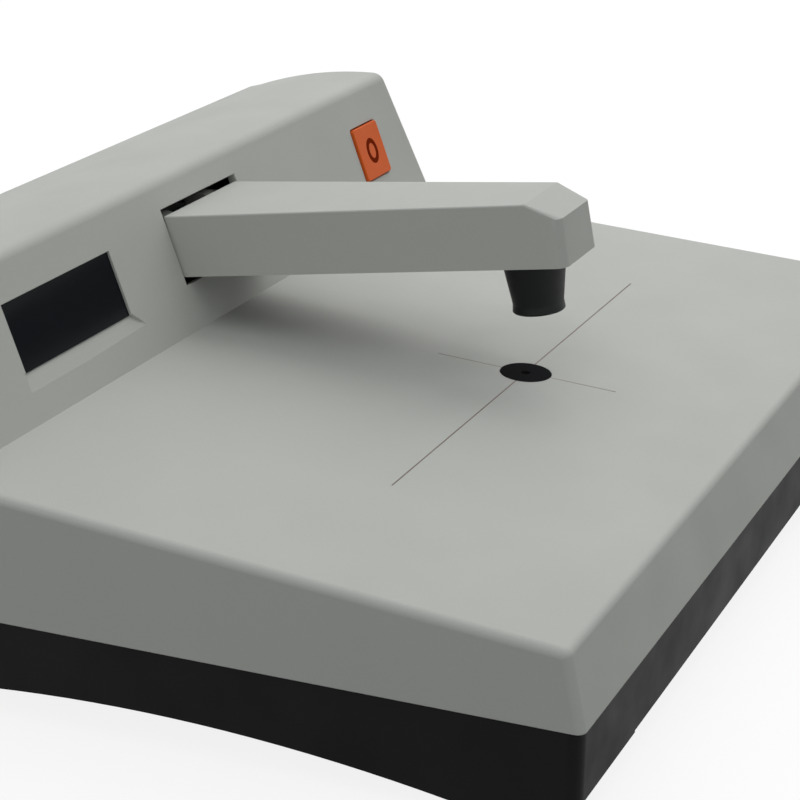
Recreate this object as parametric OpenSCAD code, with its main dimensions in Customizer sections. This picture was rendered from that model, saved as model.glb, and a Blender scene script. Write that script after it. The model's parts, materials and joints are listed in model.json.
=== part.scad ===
// Desktop photographic densitometer.
// Frame: origin on the ground below the middle of the case, -Y is the front, +X the right, +Z up.
// Inside this file y is counted from the front edge of the seam, and z from the ground.

/* [Case] */
// Width of the case at the seam
case_w = 348; // [330:1:370]
// Depth of the case at the seam
case_d = 287; // [280:1:300]
// Height of the seam above the ground
seam_z = 31; // [28:1:36]
// Wall of both case halves
wall = 3; // [2.5:0.1:3.5]
// Lean of the side walls
side_draft = 9.8; // [6:0.1:12]
// Lean of the front wall
front_draft = 14.7; // [8:0.1:18]
// Lean of the rear wall
rear_draft = 12; // [6:0.1:14]
// Radius of the table's edges
edge_r = 2.6; // [2:0.1:3.2]

/* [Film table] */
// Height of the table over the seam, at the front edge of the seam
table_rise = 20.2; // [18:0.1:24]
// Slope of the table, down to the front
table_tilt = 5; // [3:0.1:6]
// Depth of the cross lines, and their width
line_depth = 0.2; // [0.1:0.05:0.3]
// Width of the cross lines
line_w = 0.5; // [0.3:0.05:0.8]
// Half length of the long cross line, from side to side
line_x = 104; // [60:1:140]
// Half length of the short cross line, from front to back
line_y = 31; // [20:1:50]

/* [Console] */
// Depth of the console, from its foot to the rear edge of the seam
console_d = 96.2; // [94:0.1:100]
// Lean of the console's face
face_lean = 19; // [15:0.5:22]
// Height of the console's crown over the seam
crown_h = 85.6; // [82:0.1:92]
// Distance of the crown's highest line ahead of the rear edge of the seam
crown_back = 75; // [71:1:79]
// Radius of the crown
crown_r = 145; // [130:1:180]
// Radius of the ridge between face and crown
ridge_r = 4.5; // [3.5:0.1:6]
// Radius between crown and rear wall
rear_r = 8; // [6:0.5:9]

/* [Lower case] */
// Depth of the black front band
band_h = 21.4; // [19:0.1:24]
// Height of the rubber pads under the lobes
pad_h = 2; // [1.5:0.1:3]
// Top of the side arch above the ground
arch_top = 11.2; // [10:0.1:11.2]
// Distance of the arch's middle behind the front edge of the seam
arch_y = 128; // [120:1:136]
// Radius of the side arch
arch_r = 540; // [500:5:600]
// Length of the rounded toe of each lobe
toe = 12; // [10:0.5:12]
// Width of the corner lobes
lobe_w = 46; // [40:1:56]
// Inset of the lower case behind the upper one
base_inset = 0.9; // [0.5:0.1:1.5]
// Lean of the lower case's walls
base_draft = 3; // [1:0.5:4]
// Underside of the case's floor above the ground
floor_z = 11.4; // [11.3:0.1:13]
// Thickness of the floor
floor_t = 2.6; // [2:0.1:3]
// Corner radius of the lower case
base_r = 4; // [3:0.5:6]
// Diameter of the rubber pads
pad_d = 14; // [10:0.5:16]
// Distance of the pads and case screws from the side walls
pad_side = 22; // [18:1:26]
// Distance of the front pads behind the seam's front edge
pad_front_y = 19; // [18:0.5:20]
// Distance of the rear pads ahead of the seam's rear edge
pad_back = 37; // [27:1:42]
// Distance of the front case screws behind the seam's front edge
screw_front_y = 44; // [40:1:48]
// Distance of the rear case screws ahead of the seam's rear edge
screw_back = 61; // [55:1:65]

/* [Aperture and lamp] */
// Diameter of the black aperture disc
disc_d = 16.8; // [15:0.1:18]
// Thickness of the aperture disc
disc_t = 1.8; // [1.4:0.1:2]
// Diameter of the measured spot
spot_d = 3; // [1:0.5:4]
// Offset of the aperture to the right of the case's middle
aperture_x = 1; // [0:0.5:2]
// Distance of the aperture behind the seam's front edge
aperture_y = 84.2; // [82:0.1:88]
// Diameter of the opal diffuser
diffuser_d = 18; // [16:0.5:20]
// Thickness of the opal diffuser
diffuser_t = 2; // [1.5:0.1:2.5]
// Outer diameter of the light box
lamp_box_d = 30; // [28:1:34]
// Height of the light box
lamp_box_h = 24; // [22:1:25]

/* [Read arm] */
// Rise of the raised arm from level, in degrees
arm_rest = 6.2; // [5:0.1:7]
// Travel of the arm down to the table, in degrees
arm_travel = 9.6; // [9.4:0.1:10.2]
// Height of the hinge over the console's foot
pivot_rise = 29.35; // [28:0.05:30]
// Distance of the hinge behind the console's face
pivot_setback = 9.1; // [8.9:0.1:10]
// Height of the arm's section
arm_h = 20.7; // [18:0.1:21]
// Depth of the arm's underside below the hinge
arm_drop = 14; // [12:0.1:14.2]
// Left and right edge of the arm in the slot
arm_root_x = [-20.5, 29.1];
// Left and right edge of the arm at the nose
nose_x = [-11, 17.8];
// Length of the nose ahead of the probe's axis
nose_ahead = 15.4; // [14:0.1:18]
// Length of the sloping part of the nose
nose_slope = 12; // [8:0.1:14]
// Drop of the sloping part of the nose
nose_drop = 5.3; // [3:0.1:7]
// Radius of the nose's upright edges
nose_r = 3.6; // [1.5:0.1:4]
// Wall of the arm's moulding
arm_wall = 2; // [1.6:0.1:2.4]
// Side clearance of the arm in the slot
slot_gap = 0.6; // [0.5:0.1:1.2]
// Lower and upper edge of the slot, up the console's face
slot_s = [15, 41.4];

/* [Probe] */
// Diameter of the probe under the arm
probe_d = 20.6; // [18:0.1:21]
// Diameter of the probe's waist above its rim
probe_waist_d = 16.5; // [15:0.1:17]
// Diameter of the probe's rim
probe_rim_d = 17.1; // [16:0.1:18]
// Gap that stays between rim and table when the arm is down
read_gap = 0.3; // [0.2:0.05:0.5]
// Bore of the probe
probe_bore = 7; // [5:0.5:8]
// Diameter of the probe's neck inside the arm
neck_d = 13; // [12:0.5:15]

/* [Hinge] */
// Diameter of the hinge pin
pin_d = 5; // [4:0.5:5]
// Wall of the hinge bushes
bush_wall = 1.5; // [1.2:0.1:1.6]
// Radial running clearance of the hinge
run_gap = 0.04; // [0.02:0.01:0.08]
// Thickness of the hinge bracket's sheet
sheet_t = 2; // [1.5:0.1:2.5]
// Width of each hinge ear of the arm
ear_w = 6; // [5:0.5:7]
// Left and right outer faces of the arm's hinge ears
ears_x = [-14, 21];

/* [Display] */
// Width of the display window
window_w = 60.4; // [56:0.1:62]
// Height of the display window, up the face
window_h = 21.7; // [18:0.1:23]
// Middle of the window, from the left edge of the seam
window_side = 87.2; // [84:0.1:90]
// Middle of the window, up the face
window_s = 26.2; // [25:0.1:28]
// Depth of the window behind the face
window_sunk = 0.8; // [0.4:0.1:1]
// Height of the sill under the window
sill_h = 5.8; // [4:0.1:7]
// Flare of the sill to the right
sill_flare = 6; // [3:0.1:8]

/* [Zero key] */
// Width and height of the key cap
key_w = 20.6; // [18:0.1:22]
// Middle of the key, from the right edge of the seam
key_side = 44.4; // [42:0.1:50]
// Middle of the key, up the face
key_s = 25.9; // [25:0.1:27]
// Height of the key cap above the face
key_proud = 1; // [0.8:0.1:3]
// Travel of the key
key_travel = 1.4; // [1:0.1:1.5]
// Gap around the key cap
key_gap = 0.4; // [0.3:0.05:0.6]
// Corner radius of the key cap
key_r = 1.2; // [1:0.1:4]

/* [Boards] */
// Thickness of the circuit boards
board_t = 1.6; // [1.2:0.1:2]
// Distance of the main board from the side walls
main_side = 56; // [50:1:70]
// Front edge of the main board behind the seam's front edge
main_y = 36; // [32:1:42]
// Gap between the main board and the console's foot
main_back = 16.8; // [14:0.1:22]
// Height of the main board's posts
main_post = 6; // [5:0.5:8]

/* [Rear sockets] */
// Middle of the power switch, from the right edge of the seam
switch_side = 96; // [90:1:104]
// Middle of the power inlet, from the right edge of the seam
jack_side = 62; // [50:1:68]
// Height of both above the ground
socket_z = 21.5; // [21:0.1:22]
// Half the swing of the rocker, in degrees
rocker_tilt = 8; // [6:0.5:9]

/* [Hidden] */

$fn = 48;
ball_fn = 24;
eps = 0.02;
// Gap at which a piece lies against its seat without touching
seat_gap = 0.3;
// Hair of room between flat faces that meet
hair = 0.03;
// Depth by which a cut runs past a face
over = 1;
inner_r = 0.6;

console_y = case_d - console_d;
crown_y = case_d - crown_back;
window_x = window_side - case_w / 2;
key_x = case_w / 2 - key_side;
switch_x = case_w / 2 - switch_side;
jack_x = case_w / 2 - jack_side;
main_w = case_w - 2 * main_side;
main_d = console_y - main_back - main_y;
console_z = seam_z + table_rise + console_y * tan(table_tilt);
band_z = seam_z - band_h;
floor_top = floor_z + floor_t;
pin_r = pin_d / 2;
bush_r = pin_r + bush_wall;

// Half width, front and rear of the upper case at height z, a margin m inside its skin
function side_x(z, m = 0) = case_w / 2 - (z - seam_z) * tan(side_draft) - m / cos(side_draft);
function front_y(z, m = 0) = (z - seam_z) * tan(front_draft) + m / cos(front_draft);
function rear_y(z, m = 0) = case_d - (z - seam_z) * tan(rear_draft) - m / cos(rear_draft);
// Height of the table and of the crown, and the console's face, with the same margin
function table_z(y, m = 0) = seam_z + table_rise + y * tan(table_tilt) - m / cos(table_tilt);
function face_y(z, m = 0) = console_y + (z - console_z) * tan(face_lean) + m / cos(face_lean);
function crown_z(y, m = 0) = seam_z + crown_h - pow(y - crown_y, 2) / (2 * crown_r) - m;
// Where the front wall meets the table, both a margin m inside the skin
function front_edge_y(m) =
    ((table_z(0, m) - seam_z) * tan(front_draft) + m / cos(front_draft))
    / (1 - tan(front_draft) * tan(table_tilt));
function inset_r(r, m) = max(r - m, inner_r);

// Hinge of the arm
pivot_z = console_z + pivot_rise;
pivot_y = face_y(pivot_z) + pivot_setback;
// The aperture as the lowered arm sees it gives the probe's place and length
down_tilt = arm_travel - arm_rest;
reach_y = aperture_y - pivot_y;
reach_z = table_z(aperture_y) - pivot_z;
probe_v = reach_y * cos(down_tilt) + reach_z * sin(down_tilt);
probe_tip_w = -reach_y * sin(down_tilt) + reach_z * cos(down_tilt) + read_gap;
arm_low = -arm_drop;
arm_top = arm_h - arm_drop;
nose_v = probe_v - nose_ahead;
arm_root_v = -pivot_setback;
arm_end_v = arm_root_v + 2.5;
// Lean of the arm's sides and of the nose's face, and the radius of its long edges
arm_draft_x = 0.3;
nose_lean = 0.7;
arm_edge_r = 0.8;
echo(pivot_y = pivot_y - case_d / 2, pivot_z = pivot_z, probe_v = probe_v, probe_tip_w = probe_tip_w);

// ---------------------------------------------------------------- placing
module whole() { translate([0, -case_d / 2, 0]) children(); }
module on_table(x = aperture_x, y = aperture_y) {
    translate([x, y, table_z(y)]) rotate([table_tilt, 0, 0]) children();
}
module on_face(x = 0, s = 0) {
    translate([x, console_y, console_z]) rotate([90 - face_lean, 0, 0]) translate([0, s, 0]) children();
}
module arm_frame() { translate([0, pivot_y, pivot_z]) rotate([-arm_rest, 0, 0]) children(); }
module at_rear(x) {
    translate([x, case_d - base_inset - rear_slip, socket_z]) rotate([-base_draft, 0, 0]) children();
}
rear_slip = (seam_z - socket_z) * tan(base_draft);

// ---------------------------------------------------------------- helpers
module rounded(w, h, r) {
    square([w - 2 * r, h], center = true);
    square([w, h - 2 * r], center = true);
    for (x = [-1, 1], y = [-1, 1]) translate([x * (w / 2 - r), y * (h / 2 - r)]) circle(r);
}
module bar_x(x0, x1, r) { translate([x0, 0, 0]) rotate([0, 90, 0]) cylinder(r = r, h = x1 - x0); }
module block(lo, hi) { translate(lo) cube(hi - lo); }
module ring(r_out, r_in, h) {
    difference() {
        cylinder(r = r_out, h = h);
        translate([0, 0, -over]) cylinder(r = r_in, h = h + 2 * over);
    }
}
// A pan-head screw: its head's underside at z = 0, its shank down -Z
function screw_kind(d, len, head_d, head_h) = [d, len, head_d, head_h];
case_screw = screw_kind(3, 36, 7, 2.4);
main_screw = screw_kind(2.4, 6, 4.4, 1.6);
face_screw = screw_kind(2.2, 6, 4, 1.6);
cover_screw = screw_kind(2.2, 8, 4.4, 1.1);
lamp_screw = screw_kind(2.2, 8, 4.2, 1.6);
foot_screw = screw_kind(3, sheet_t + floor_t - seat_gap, 5.6, 2);
module screw(kind) {
    cylinder(d = kind[2], h = kind[3]);
    translate([0, 0, -kind[1]]) cylinder(d = kind[0], h = kind[1] + eps);
}
// One unbroken round wire along a list of points
function unit(v) = v / norm(v);
function heading(p, i) = unit(p[min(i + 1, len(p) - 1)] - p[max(i - 1, 0)]);
function wire_side(t) = unit(cross(abs(t[0]) < 0.9 ? [1, 0, 0] : [0, 0, 1], t));
module wire(path, r, sides = 6) {
    points = [
        for (i = [0 : len(path) - 1])
            let (t = heading(path, i), a = wire_side(t), b = cross(t, a))
            for (k = [0 : sides - 1])
                path[i] + r * (a * cos(360 * k / sides) + b * sin(360 * k / sides))
    ];
    last = len(path) - 1;
    walls = [
        for (i = [0 : last - 1], k = [0 : sides - 1])
            let (n = (k + 1) % sides)
            each [
                [i * sides + k, (i + 1) * sides + n, (i + 1) * sides + k],
                [i * sides + k, i * sides + n, (i + 1) * sides + n]
            ]
    ];
    ends = [
        for (k = [1 : sides - 2])
            each [[0, k + 1, k], [last * sides, last * sides + k, last * sides + k + 1]]
    ];
    polyhedron(points, concat(walls, ends));
}

// ---------------------------------------------------------------- case shapes
// Length of the table's wedge behind the console's foot
table_lap = 9;
module table_body(m) {
    r = inset_r(edge_r, m);
    d = m + r;
    low = m > 0 ? seam_z - over : seam_z;
    back = console_y + table_lap - m;
    front = front_edge_y(d);
    hull() {
        for (s = [-1, 1], y = [front, back]) {
            z = table_z(y, d);
            translate([s * side_x(z, d), y, z]) sphere(r, $fn = ball_fn);
        }
        for (s = [-1, 1], y = [front_y(low, m) + r, back])
            translate([s * (side_x(low, m) - r), y, low]) cylinder(r = r, h = eps, $fn = ball_fn);
    }
}
module console_body(m) {
    r = inset_r(ridge_r, m);
    rr = inset_r(rear_r, m);
    d = m + r;
    dr = m + rr;
    low = m > 0 ? seam_z - over : seam_z;
    ridge_y = face_y(crown_z(crown_y, d), d);
    back_y = rear_y(crown_z(rear_y(seam_z + crown_h, dr), dr), dr);
    steps = 5;
    hull() {
        for (s = [-1, 1]) {
            for (i = [0 : steps - 1]) {
                y = ridge_y + (back_y - ridge_y) * i / steps;
                z = crown_z(y, d);
                translate([s * side_x(z, d), y, z]) sphere(r, $fn = ball_fn);
            }
            translate([s * side_x(crown_z(back_y, dr), dr), back_y, crown_z(back_y, dr)])
                sphere(rr, $fn = ball_fn);
            translate([s * (side_x(low, m) - r), face_y(low, m) + r, low])
                cylinder(r = r, h = eps, $fn = ball_fn);
            translate([s * (side_x(low, m) - rr), rear_y(low, m) - rr, low])
                cylinder(r = rr, h = eps, $fn = ball_fn);
        }
    }
}

// Posts for the case screws and the webs that hold them
post_d = 8;
post_bore = 3;
post_bore_len = 20;
post_h = 38;
web_t = 2;
function pad_x(s) = s * (case_w / 2 - pad_side);
screw_spots = [for (s = [-1, 1], y = [screw_front_y, case_d - screw_back]) [pad_x(s), y]];
pad_spots = [for (s = [-1, 1], y = [pad_front_y, case_d - pad_back]) [pad_x(s), y]];

// Boards behind the console's face: posts stand on the face's inner side
face_post_d = 6;
face_post_bore = 2.2;
hole_inset = 3.5;
function corner_holes(w, h) = [
    for (x = [-1, 1], y = [-1, 1]) [x * (w / 2 - hole_inset), y * (h / 2 - hole_inset)]
];
display_post_z = -12.4;
display_board_side = 6.8;
display_board_size = [window_w + 2 * display_board_side, 34];
display_holes = corner_holes(display_board_size[0], display_board_size[1]);
key_board_z = -20;
key_board_size = [42, 33];
key_holes = corner_holes(key_board_size[0], key_board_size[1]);
module face_posts(spots, depth) {
    for (p = spots)
        translate([p[0], p[1], depth]) cylinder(d = face_post_d, h = -depth - wall / 2);
}
module face_post_bores(spots, depth) {
    for (p = spots)
        translate([p[0], p[1], depth - eps]) cylinder(d = face_post_bore, h = -depth - wall);
}

// The light box hangs on two posts under the table
lamp_post_x = lamp_box_d / 2 + 5.5;
lamp_post_len = 8;
lamp_post_d = 7;
lamp_post_bore_len = 7;

// Post for a case screw, held to the side wall by a web
module screw_post(p) {
    top = min(table_z(p[1]) - wall / 2, seam_z + post_h);
    side = p[0] > 0 ? 1 : -1;
    translate([p[0], p[1], seam_z]) cylinder(d = post_d, h = top - seam_z);
    translate([0, p[1] + web_t / 2, 0]) rotate([90, 0, 0]) linear_extrude(web_t) polygon([
        [p[0], seam_z], [side * side_x(seam_z, wall / 2), seam_z],
        [side * side_x(top, wall / 2), top], [p[0], top]
    ]);
}
module arm_slot() {
    x0 = arm_root_x[0] - slot_gap;
    x1 = arm_root_x[1] + slot_gap;
    on_face() block([x0, slot_s[0], -3 * wall], [x1, slot_s[1], over]);
}
// Sloping recess under the window, deepest at the window and level with the face at its lower edge
sill_depth = 1.4;
sill_side = 0.6;
sill_lift = 1;
module sill_outline(s1) {
    x0 = -window_w / 2 - sill_side;
    x1 = window_w / 2;
    polygon([[x0, s1], [x0, s1 - sill_h], [x1 + sill_flare, s1 - sill_h + sill_lift], [x1 + sill_side, s1]]);
}
module sill_cut() {
    s1 = -window_h / 2;
    hull() on_face(window_x, window_s) {
        translate([-window_w / 2, s1, -sill_depth]) cube([window_w, eps, eps]);
        linear_extrude(over) sill_outline(s1);
    }
}

// Clearance of the aperture disc in its seat, and the ledge that carries it
disc_fit = 0.05;
disc_ledge = 2.5;

module upper_shell() whole() color("#b9bab4") difference() {
    union() {
        difference() {
            union() {
                table_body(0);
                console_body(0);
            }
            table_body(wall);
            console_body(wall);
        }
        for (p = screw_spots) screw_post(p);
        on_face(window_x, window_s) face_posts(display_holes, display_post_z);
        on_face(key_x, key_s) face_posts(key_holes, key_board_z);
        on_table() for (s = [-1, 1])
            translate([s * lamp_post_x, 0, -wall - lamp_post_len])
                cylinder(d = lamp_post_d, h = lamp_post_len + wall / 2);
    }
    for (p = screw_spots)
        translate([p[0], p[1], seam_z - over]) cylinder(d = post_bore, h = post_bore_len);
    on_face(window_x, window_s) face_post_bores(display_holes, display_post_z);
    on_face(key_x, key_s) face_post_bores(key_holes, key_board_z);
    on_table() {
        translate([0, 0, -disc_t]) cylinder(d = disc_d + 2 * disc_fit, h = disc_t + over);
        translate([0, 0, -2 * wall]) cylinder(d = disc_d - 2 * disc_ledge, h = 2 * wall);
        for (s = [-1, 1])
            translate([s * lamp_post_x, 0, -wall - lamp_post_len - eps])
                cylinder(d = face_post_bore, h = lamp_post_bore_len);
        block([-line_x, -line_w / 2, -line_depth], [line_x, line_w / 2, over]);
        block([-line_w / 2, -line_y, -line_depth], [line_w / 2, line_y, over]);
    }
    arm_slot();
    on_face(window_x, window_s)
        block([-window_w / 2, -window_h / 2, -2 * wall], [window_w / 2, window_h / 2, over]);
    sill_cut();
    on_face(key_x, key_s) translate([0, 0, -2 * wall]) linear_extrude(2 * wall + over)
        rounded(key_w + 2 * key_gap, key_w + 2 * key_gap, key_r + key_gap);
}

// ---------------------------------------------------------------- lower case
module base_block(low, high, m) {
    r = inset_r(base_r, m);
    hull() for (z = [low, high - eps]) {
        k = m + r + base_inset + (seam_z - z) * tan(base_draft);
        for (s = [-1, 1], y = [k, case_d - k])
            translate([s * (case_w / 2 - k), y, z]) cylinder(r = r, h = eps, $fn = ball_fn);
    }
}
function arch_z(y) = arch_top - pow(y - arch_y, 2) / (2 * arch_r);
arch_half = sqrt(2 * arch_r * (arch_top - pad_h));
arch_steps = 24;
toe_steps = 8;
function toe_z(i) = pad_h + (band_z - pad_h) * (1 + cos(180 * i / toe_steps)) / 2;
// Everything below the skirt's edge, seen from the side
function skirt_points() = concat(
    [[-over * 5, -over * 5], [-over * 5, band_z]],
    [for (i = [0 : toe_steps]) [toe * i / toe_steps, toe_z(i)]],
    [for (i = [0 : arch_steps])
        let (y = arch_y - arch_half + 2 * arch_half * i / arch_steps) [y, arch_z(y)]],
    [for (i = [toe_steps : -1 : 0]) [case_d - toe * i / toe_steps, toe_z(i)]],
    [[case_d + over * 5, band_z], [case_d + over * 5, -over * 5]]
);
module skirt_cut() {
    translate([-case_w, 0, 0]) rotate([90, 0, 90]) linear_extrude(2 * case_w) polygon(skirt_points());
}
// The lobes' inner edges, the skirt's inner side behind them and the pockets over them
lobe_front_y = 62;
lobe_rear_y = case_d - 82;
skirt_t = wall + 2;
skirt_in = 2 * wall;
pocket_rim = 8;
pocket_floor = arch_top - 0.8;
// Posts of the main board
main_hole_inset = 8;
main_post_d = 7;
main_bore = 2.4;
main_holes = [for (s = [-1, 1], y = [main_hole_inset, main_d - main_hole_inset])
    [s * (main_w / 2 - main_hole_inset), main_y + y]];
main_z = floor_top + main_post;
// Hinge bracket: its cheeks stand beside the arm's ears, its feet on the floor
cheek_gap = 1.2;
flange_w = 12;
bracket_front = 10;
bracket_back = 22;
bracket_hole_inset = 7;
bracket_bore = 3.4;
bracket_x = [ears_x[0] - cheek_gap - sheet_t, ears_x[1] + cheek_gap + sheet_t];
bracket_y = [pivot_y - bracket_front, pivot_y + bracket_back];
bracket_holes = [
    for (x = [bracket_x[0] - flange_w / 2, bracket_x[1] + flange_w / 2],
         y = [bracket_y[0] + bracket_hole_inset, bracket_y[1] - bracket_hole_inset]) [x, y]
];
// Rear openings
jack_r = 5.6;
jack_bore = 1.8;
switch_cut = [19.4, 12.6];
// Case screws: the base's bosses, their clearance holes and the pockets for their heads
boss_d = 10;
boss_drop = 2;
boss_bore = 4;
head_pocket_d = 7.6;
pad_fit = 0.1;
pad_sunk = 1.5;

lobe_pockets = [
    [wall + pocket_rim, lobe_front_y - wall],
    [lobe_rear_y + wall, case_d - wall - pocket_rim]
];
module lower_base() whole() color("#161718") difference() {
    union() {
        difference() {
            base_block(0, seam_z, 0);
            base_block(floor_top, seam_z + over, wall);
            block([-case_w / 2 + skirt_t, lobe_front_y, -over], [case_w / 2 - skirt_t, lobe_rear_y, floor_z]);
            block([-case_w / 2 + lobe_w, skirt_t, -over], [case_w / 2 - lobe_w, case_d - skirt_t, floor_z]);
            block([-case_w / 2 + lobe_w, -over, -over], [case_w / 2 - lobe_w, case_d + over, band_z]);
            skirt_cut();
            for (s = [-1, 1], y = lobe_pockets)
                block([s > 0 ? case_w / 2 - lobe_w + wall : skirt_in - case_w / 2, y[0], pocket_floor],
                      [s > 0 ? case_w / 2 - skirt_in : lobe_w - wall - case_w / 2, y[1], floor_top + over]);
        }
        for (p = screw_spots)
            translate([p[0], p[1], floor_z - boss_drop])
                cylinder(d = boss_d, h = seam_z - floor_z + boss_drop);
        for (p = main_holes)
            translate([p[0], p[1], floor_top - eps]) cylinder(d = main_post_d, h = main_post + eps);
    }
    for (p = screw_spots) translate([p[0], p[1], 0]) {
        translate([0, 0, -over]) cylinder(d = head_pocket_d, h = floor_z + over);
        cylinder(d = boss_bore, h = seam_z + over);
    }
    for (p = main_holes)
        translate([p[0], p[1], floor_top - over]) cylinder(d = main_bore, h = main_post + 2 * over);
    for (p = bracket_holes)
        translate([p[0], p[1], floor_z - over]) cylinder(d = bracket_bore - 0.2, h = floor_t + 2 * over);
    for (p = pad_spots)
        translate([p[0], p[1], -over]) cylinder(d = pad_d + 2 * pad_fit, h = pad_h + pad_sunk + over);
    at_rear(jack_x) rotate([90, 0, 0]) cylinder(r = jack_r, h = 4 * wall, center = true);
    at_rear(switch_x) cube([switch_cut[0], 4 * wall, switch_cut[1]], center = true);
}
module rubber_feet() whole() color("#2b2b2b") for (p = pad_spots) translate([p[0], p[1], 0])
    cylinder(d = pad_d, h = pad_h + pad_sunk);
module case_screws() whole() color("#8a8d90") for (p = screw_spots)
    translate([p[0], p[1], floor_z]) rotate([180, 0, 0]) screw(case_screw);

// ---------------------------------------------------------------- display
window_fit = 0.1;
window_lip = 2;
window_lip_t = 1;
module display_window() whole() color("#1b1d20") on_face(window_x, window_s) {
    half_w = window_w / 2;
    half_h = window_h / 2 - window_fit;
    block([window_fit - half_w, -half_h, -wall - 2 * hair], [half_w - window_fit, half_h, -window_sunk]);
    block([-half_w - window_lip, -half_h, -wall - window_lip_t], [half_w + window_lip, half_h, -wall - hair]);
}
// Row of seven-bar digits behind the window
digit_count = 4;
digit_pitch = 12.4;
digit_w = 6.2;
digit_h = 13.2;
bar_w = 1.3;
bar_sunk = 0.4;
led_size = [52, 19];
led_front = -wall - window_lip_t - 2 * seat_gap;
module led_display() whole() color("#303236") on_face(window_x, window_s) difference() {
    half = led_size / 2;
    block([-half[0], -half[1], display_post_z], [half[0], half[1], led_front]);
    for (i = [0 : digit_count - 1])
        translate([(i - (digit_count - 1) / 2) * digit_pitch, 0, led_front]) digit_cut();
}
// Seven bars sunk into the face of a digit
module digit_cut() {
    for (y = [-1, 0, 1])
        translate([bar_w - digit_w / 2, (y * digit_h - bar_w) / 2, -bar_sunk])
            cube([digit_w - 2 * bar_w, bar_w, over]);
    for (x = [-1, 1], y = [-1, 0])
        translate([(x * digit_w - bar_w) / 2, y * digit_h / 2 + bar_w, -bar_sunk])
            cube([bar_w, digit_h / 2 - 2 * bar_w, over]);
}
module face_board(size, holes, z) {
    difference() {
        block([-size[0] / 2, -size[1] / 2, z - board_t], [size[0] / 2, size[1] / 2, z]);
        for (p = holes)
            translate([p[0], p[1], z - board_t - over]) cylinder(d = board_hole_d, h = board_t + 2 * over);
    }
}
board_hole_d = 2.6;
module display_board() whole() color("#2f6b3a") on_face(window_x, window_s)
    face_board(display_board_size, display_holes, display_post_z);
module key_board() whole() color("#2f6b3a") on_face(key_x, key_s)
    face_board(key_board_size, key_holes, key_board_z);
module board_screws() whole() color("#8a8d90") {
    on_face(window_x, window_s) for (p = display_holes)
        translate([p[0], p[1], display_post_z - board_t]) rotate([180, 0, 0]) screw(face_screw);
    on_face(key_x, key_s) for (p = key_holes)
        translate([p[0], p[1], key_board_z - board_t]) rotate([180, 0, 0]) screw(face_screw);
    for (p = main_holes) translate([p[0], p[1], main_z + board_t]) screw(main_screw);
}
// Flat cable from the display board down to the main board, with a plug at each end
ribbon_w = 24;
ribbon_t = 1;
ribbon_s = [-14, -7];
ribbon_plug_t = 4;
ribbon_out = 2;
ribbon_end = [12, 3];
ribbon_plug_h = 6;
module display_ribbon() whole() color("#9b9ea3") {
    back = display_post_z - board_t;
    s = window_s + ribbon_s[0] + 2 * ribbon_out + hair;
    drop_y = console_y + s * sin(face_lean) - back * cos(face_lean) + ribbon_out;
    drop_z = console_z + s * cos(face_lean) + back * sin(face_lean);
    end_y = main_y + main_d - ribbon_end[0];
    end_z = main_z + board_t;
    run_z = end_z + ribbon_plug_h;
    on_face(window_x, window_s)
        block([-ribbon_w / 2, ribbon_s[0], back - ribbon_plug_t], [ribbon_w / 2, ribbon_s[1], back]);
    translate([window_x - ribbon_w / 2, 0, 0]) {
        block([0, drop_y, run_z], [ribbon_w, drop_y + ribbon_t, drop_z]);
        block([0, end_y, run_z], [ribbon_w, drop_y + ribbon_t, run_z + ribbon_t]);
        block([0, end_y - ribbon_end[1], end_z], [ribbon_w, end_y + ribbon_end[1], run_z + ribbon_t]);
    }
}

// ---------------------------------------------------------------- key
// The hollow key cap, and the stem that it presses into the switch
stem_r = 3;
stem_low = key_board_z + 4;
key_wall = 1.6;
key_cap_low = -3.6;
key_switch_half = 7.8;
key_switch_top = -8.4;
key_switch_floor = 2;
module zero_key() whole() color("#d9632b") on_face(key_x, key_s) {
    difference() {
        translate([0, 0, key_cap_low]) linear_extrude(key_proud - key_cap_low) rounded(key_w, key_w, key_r);
        translate([0, 0, key_cap_low - over]) linear_extrude(-key_cap_low + over)
            rounded(key_w - 2 * key_wall, key_w - 2 * key_wall, key_r - key_wall / 2);
    }
    translate([0, 0, stem_low]) cylinder(r = stem_r, h = -stem_low + eps);
}
module key_switch() whole() color("#26282b") on_face(key_x, key_s) difference() {
    half = key_switch_half;
    block([-half, -half, key_board_z], [half, half, key_switch_top]);
    translate([0, 0, key_board_z + key_switch_floor]) cylinder(r = stem_r + run_gap, h = -key_board_z);
}
// Coil spring between the switch and the cap
spring_turns = 5;
spring_steps = 10;
spring_wire_r = 0.3;
spring_coil_r = 4.4;
spring_gap = 0.2;
module key_spring() whole() color("#a8abae") on_face(key_x, key_s) {
    z0 = key_switch_top + spring_wire_r + spring_gap;
    z1 = -spring_wire_r - spring_gap;
    last = spring_steps * spring_turns;
    wire([
        for (i = [0 : last])
            let (a = 360 * i / spring_steps)
            [spring_coil_r * cos(a), spring_coil_r * sin(a), z0 + (z1 - z0) * i / last]
    ], spring_wire_r);
}

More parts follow.
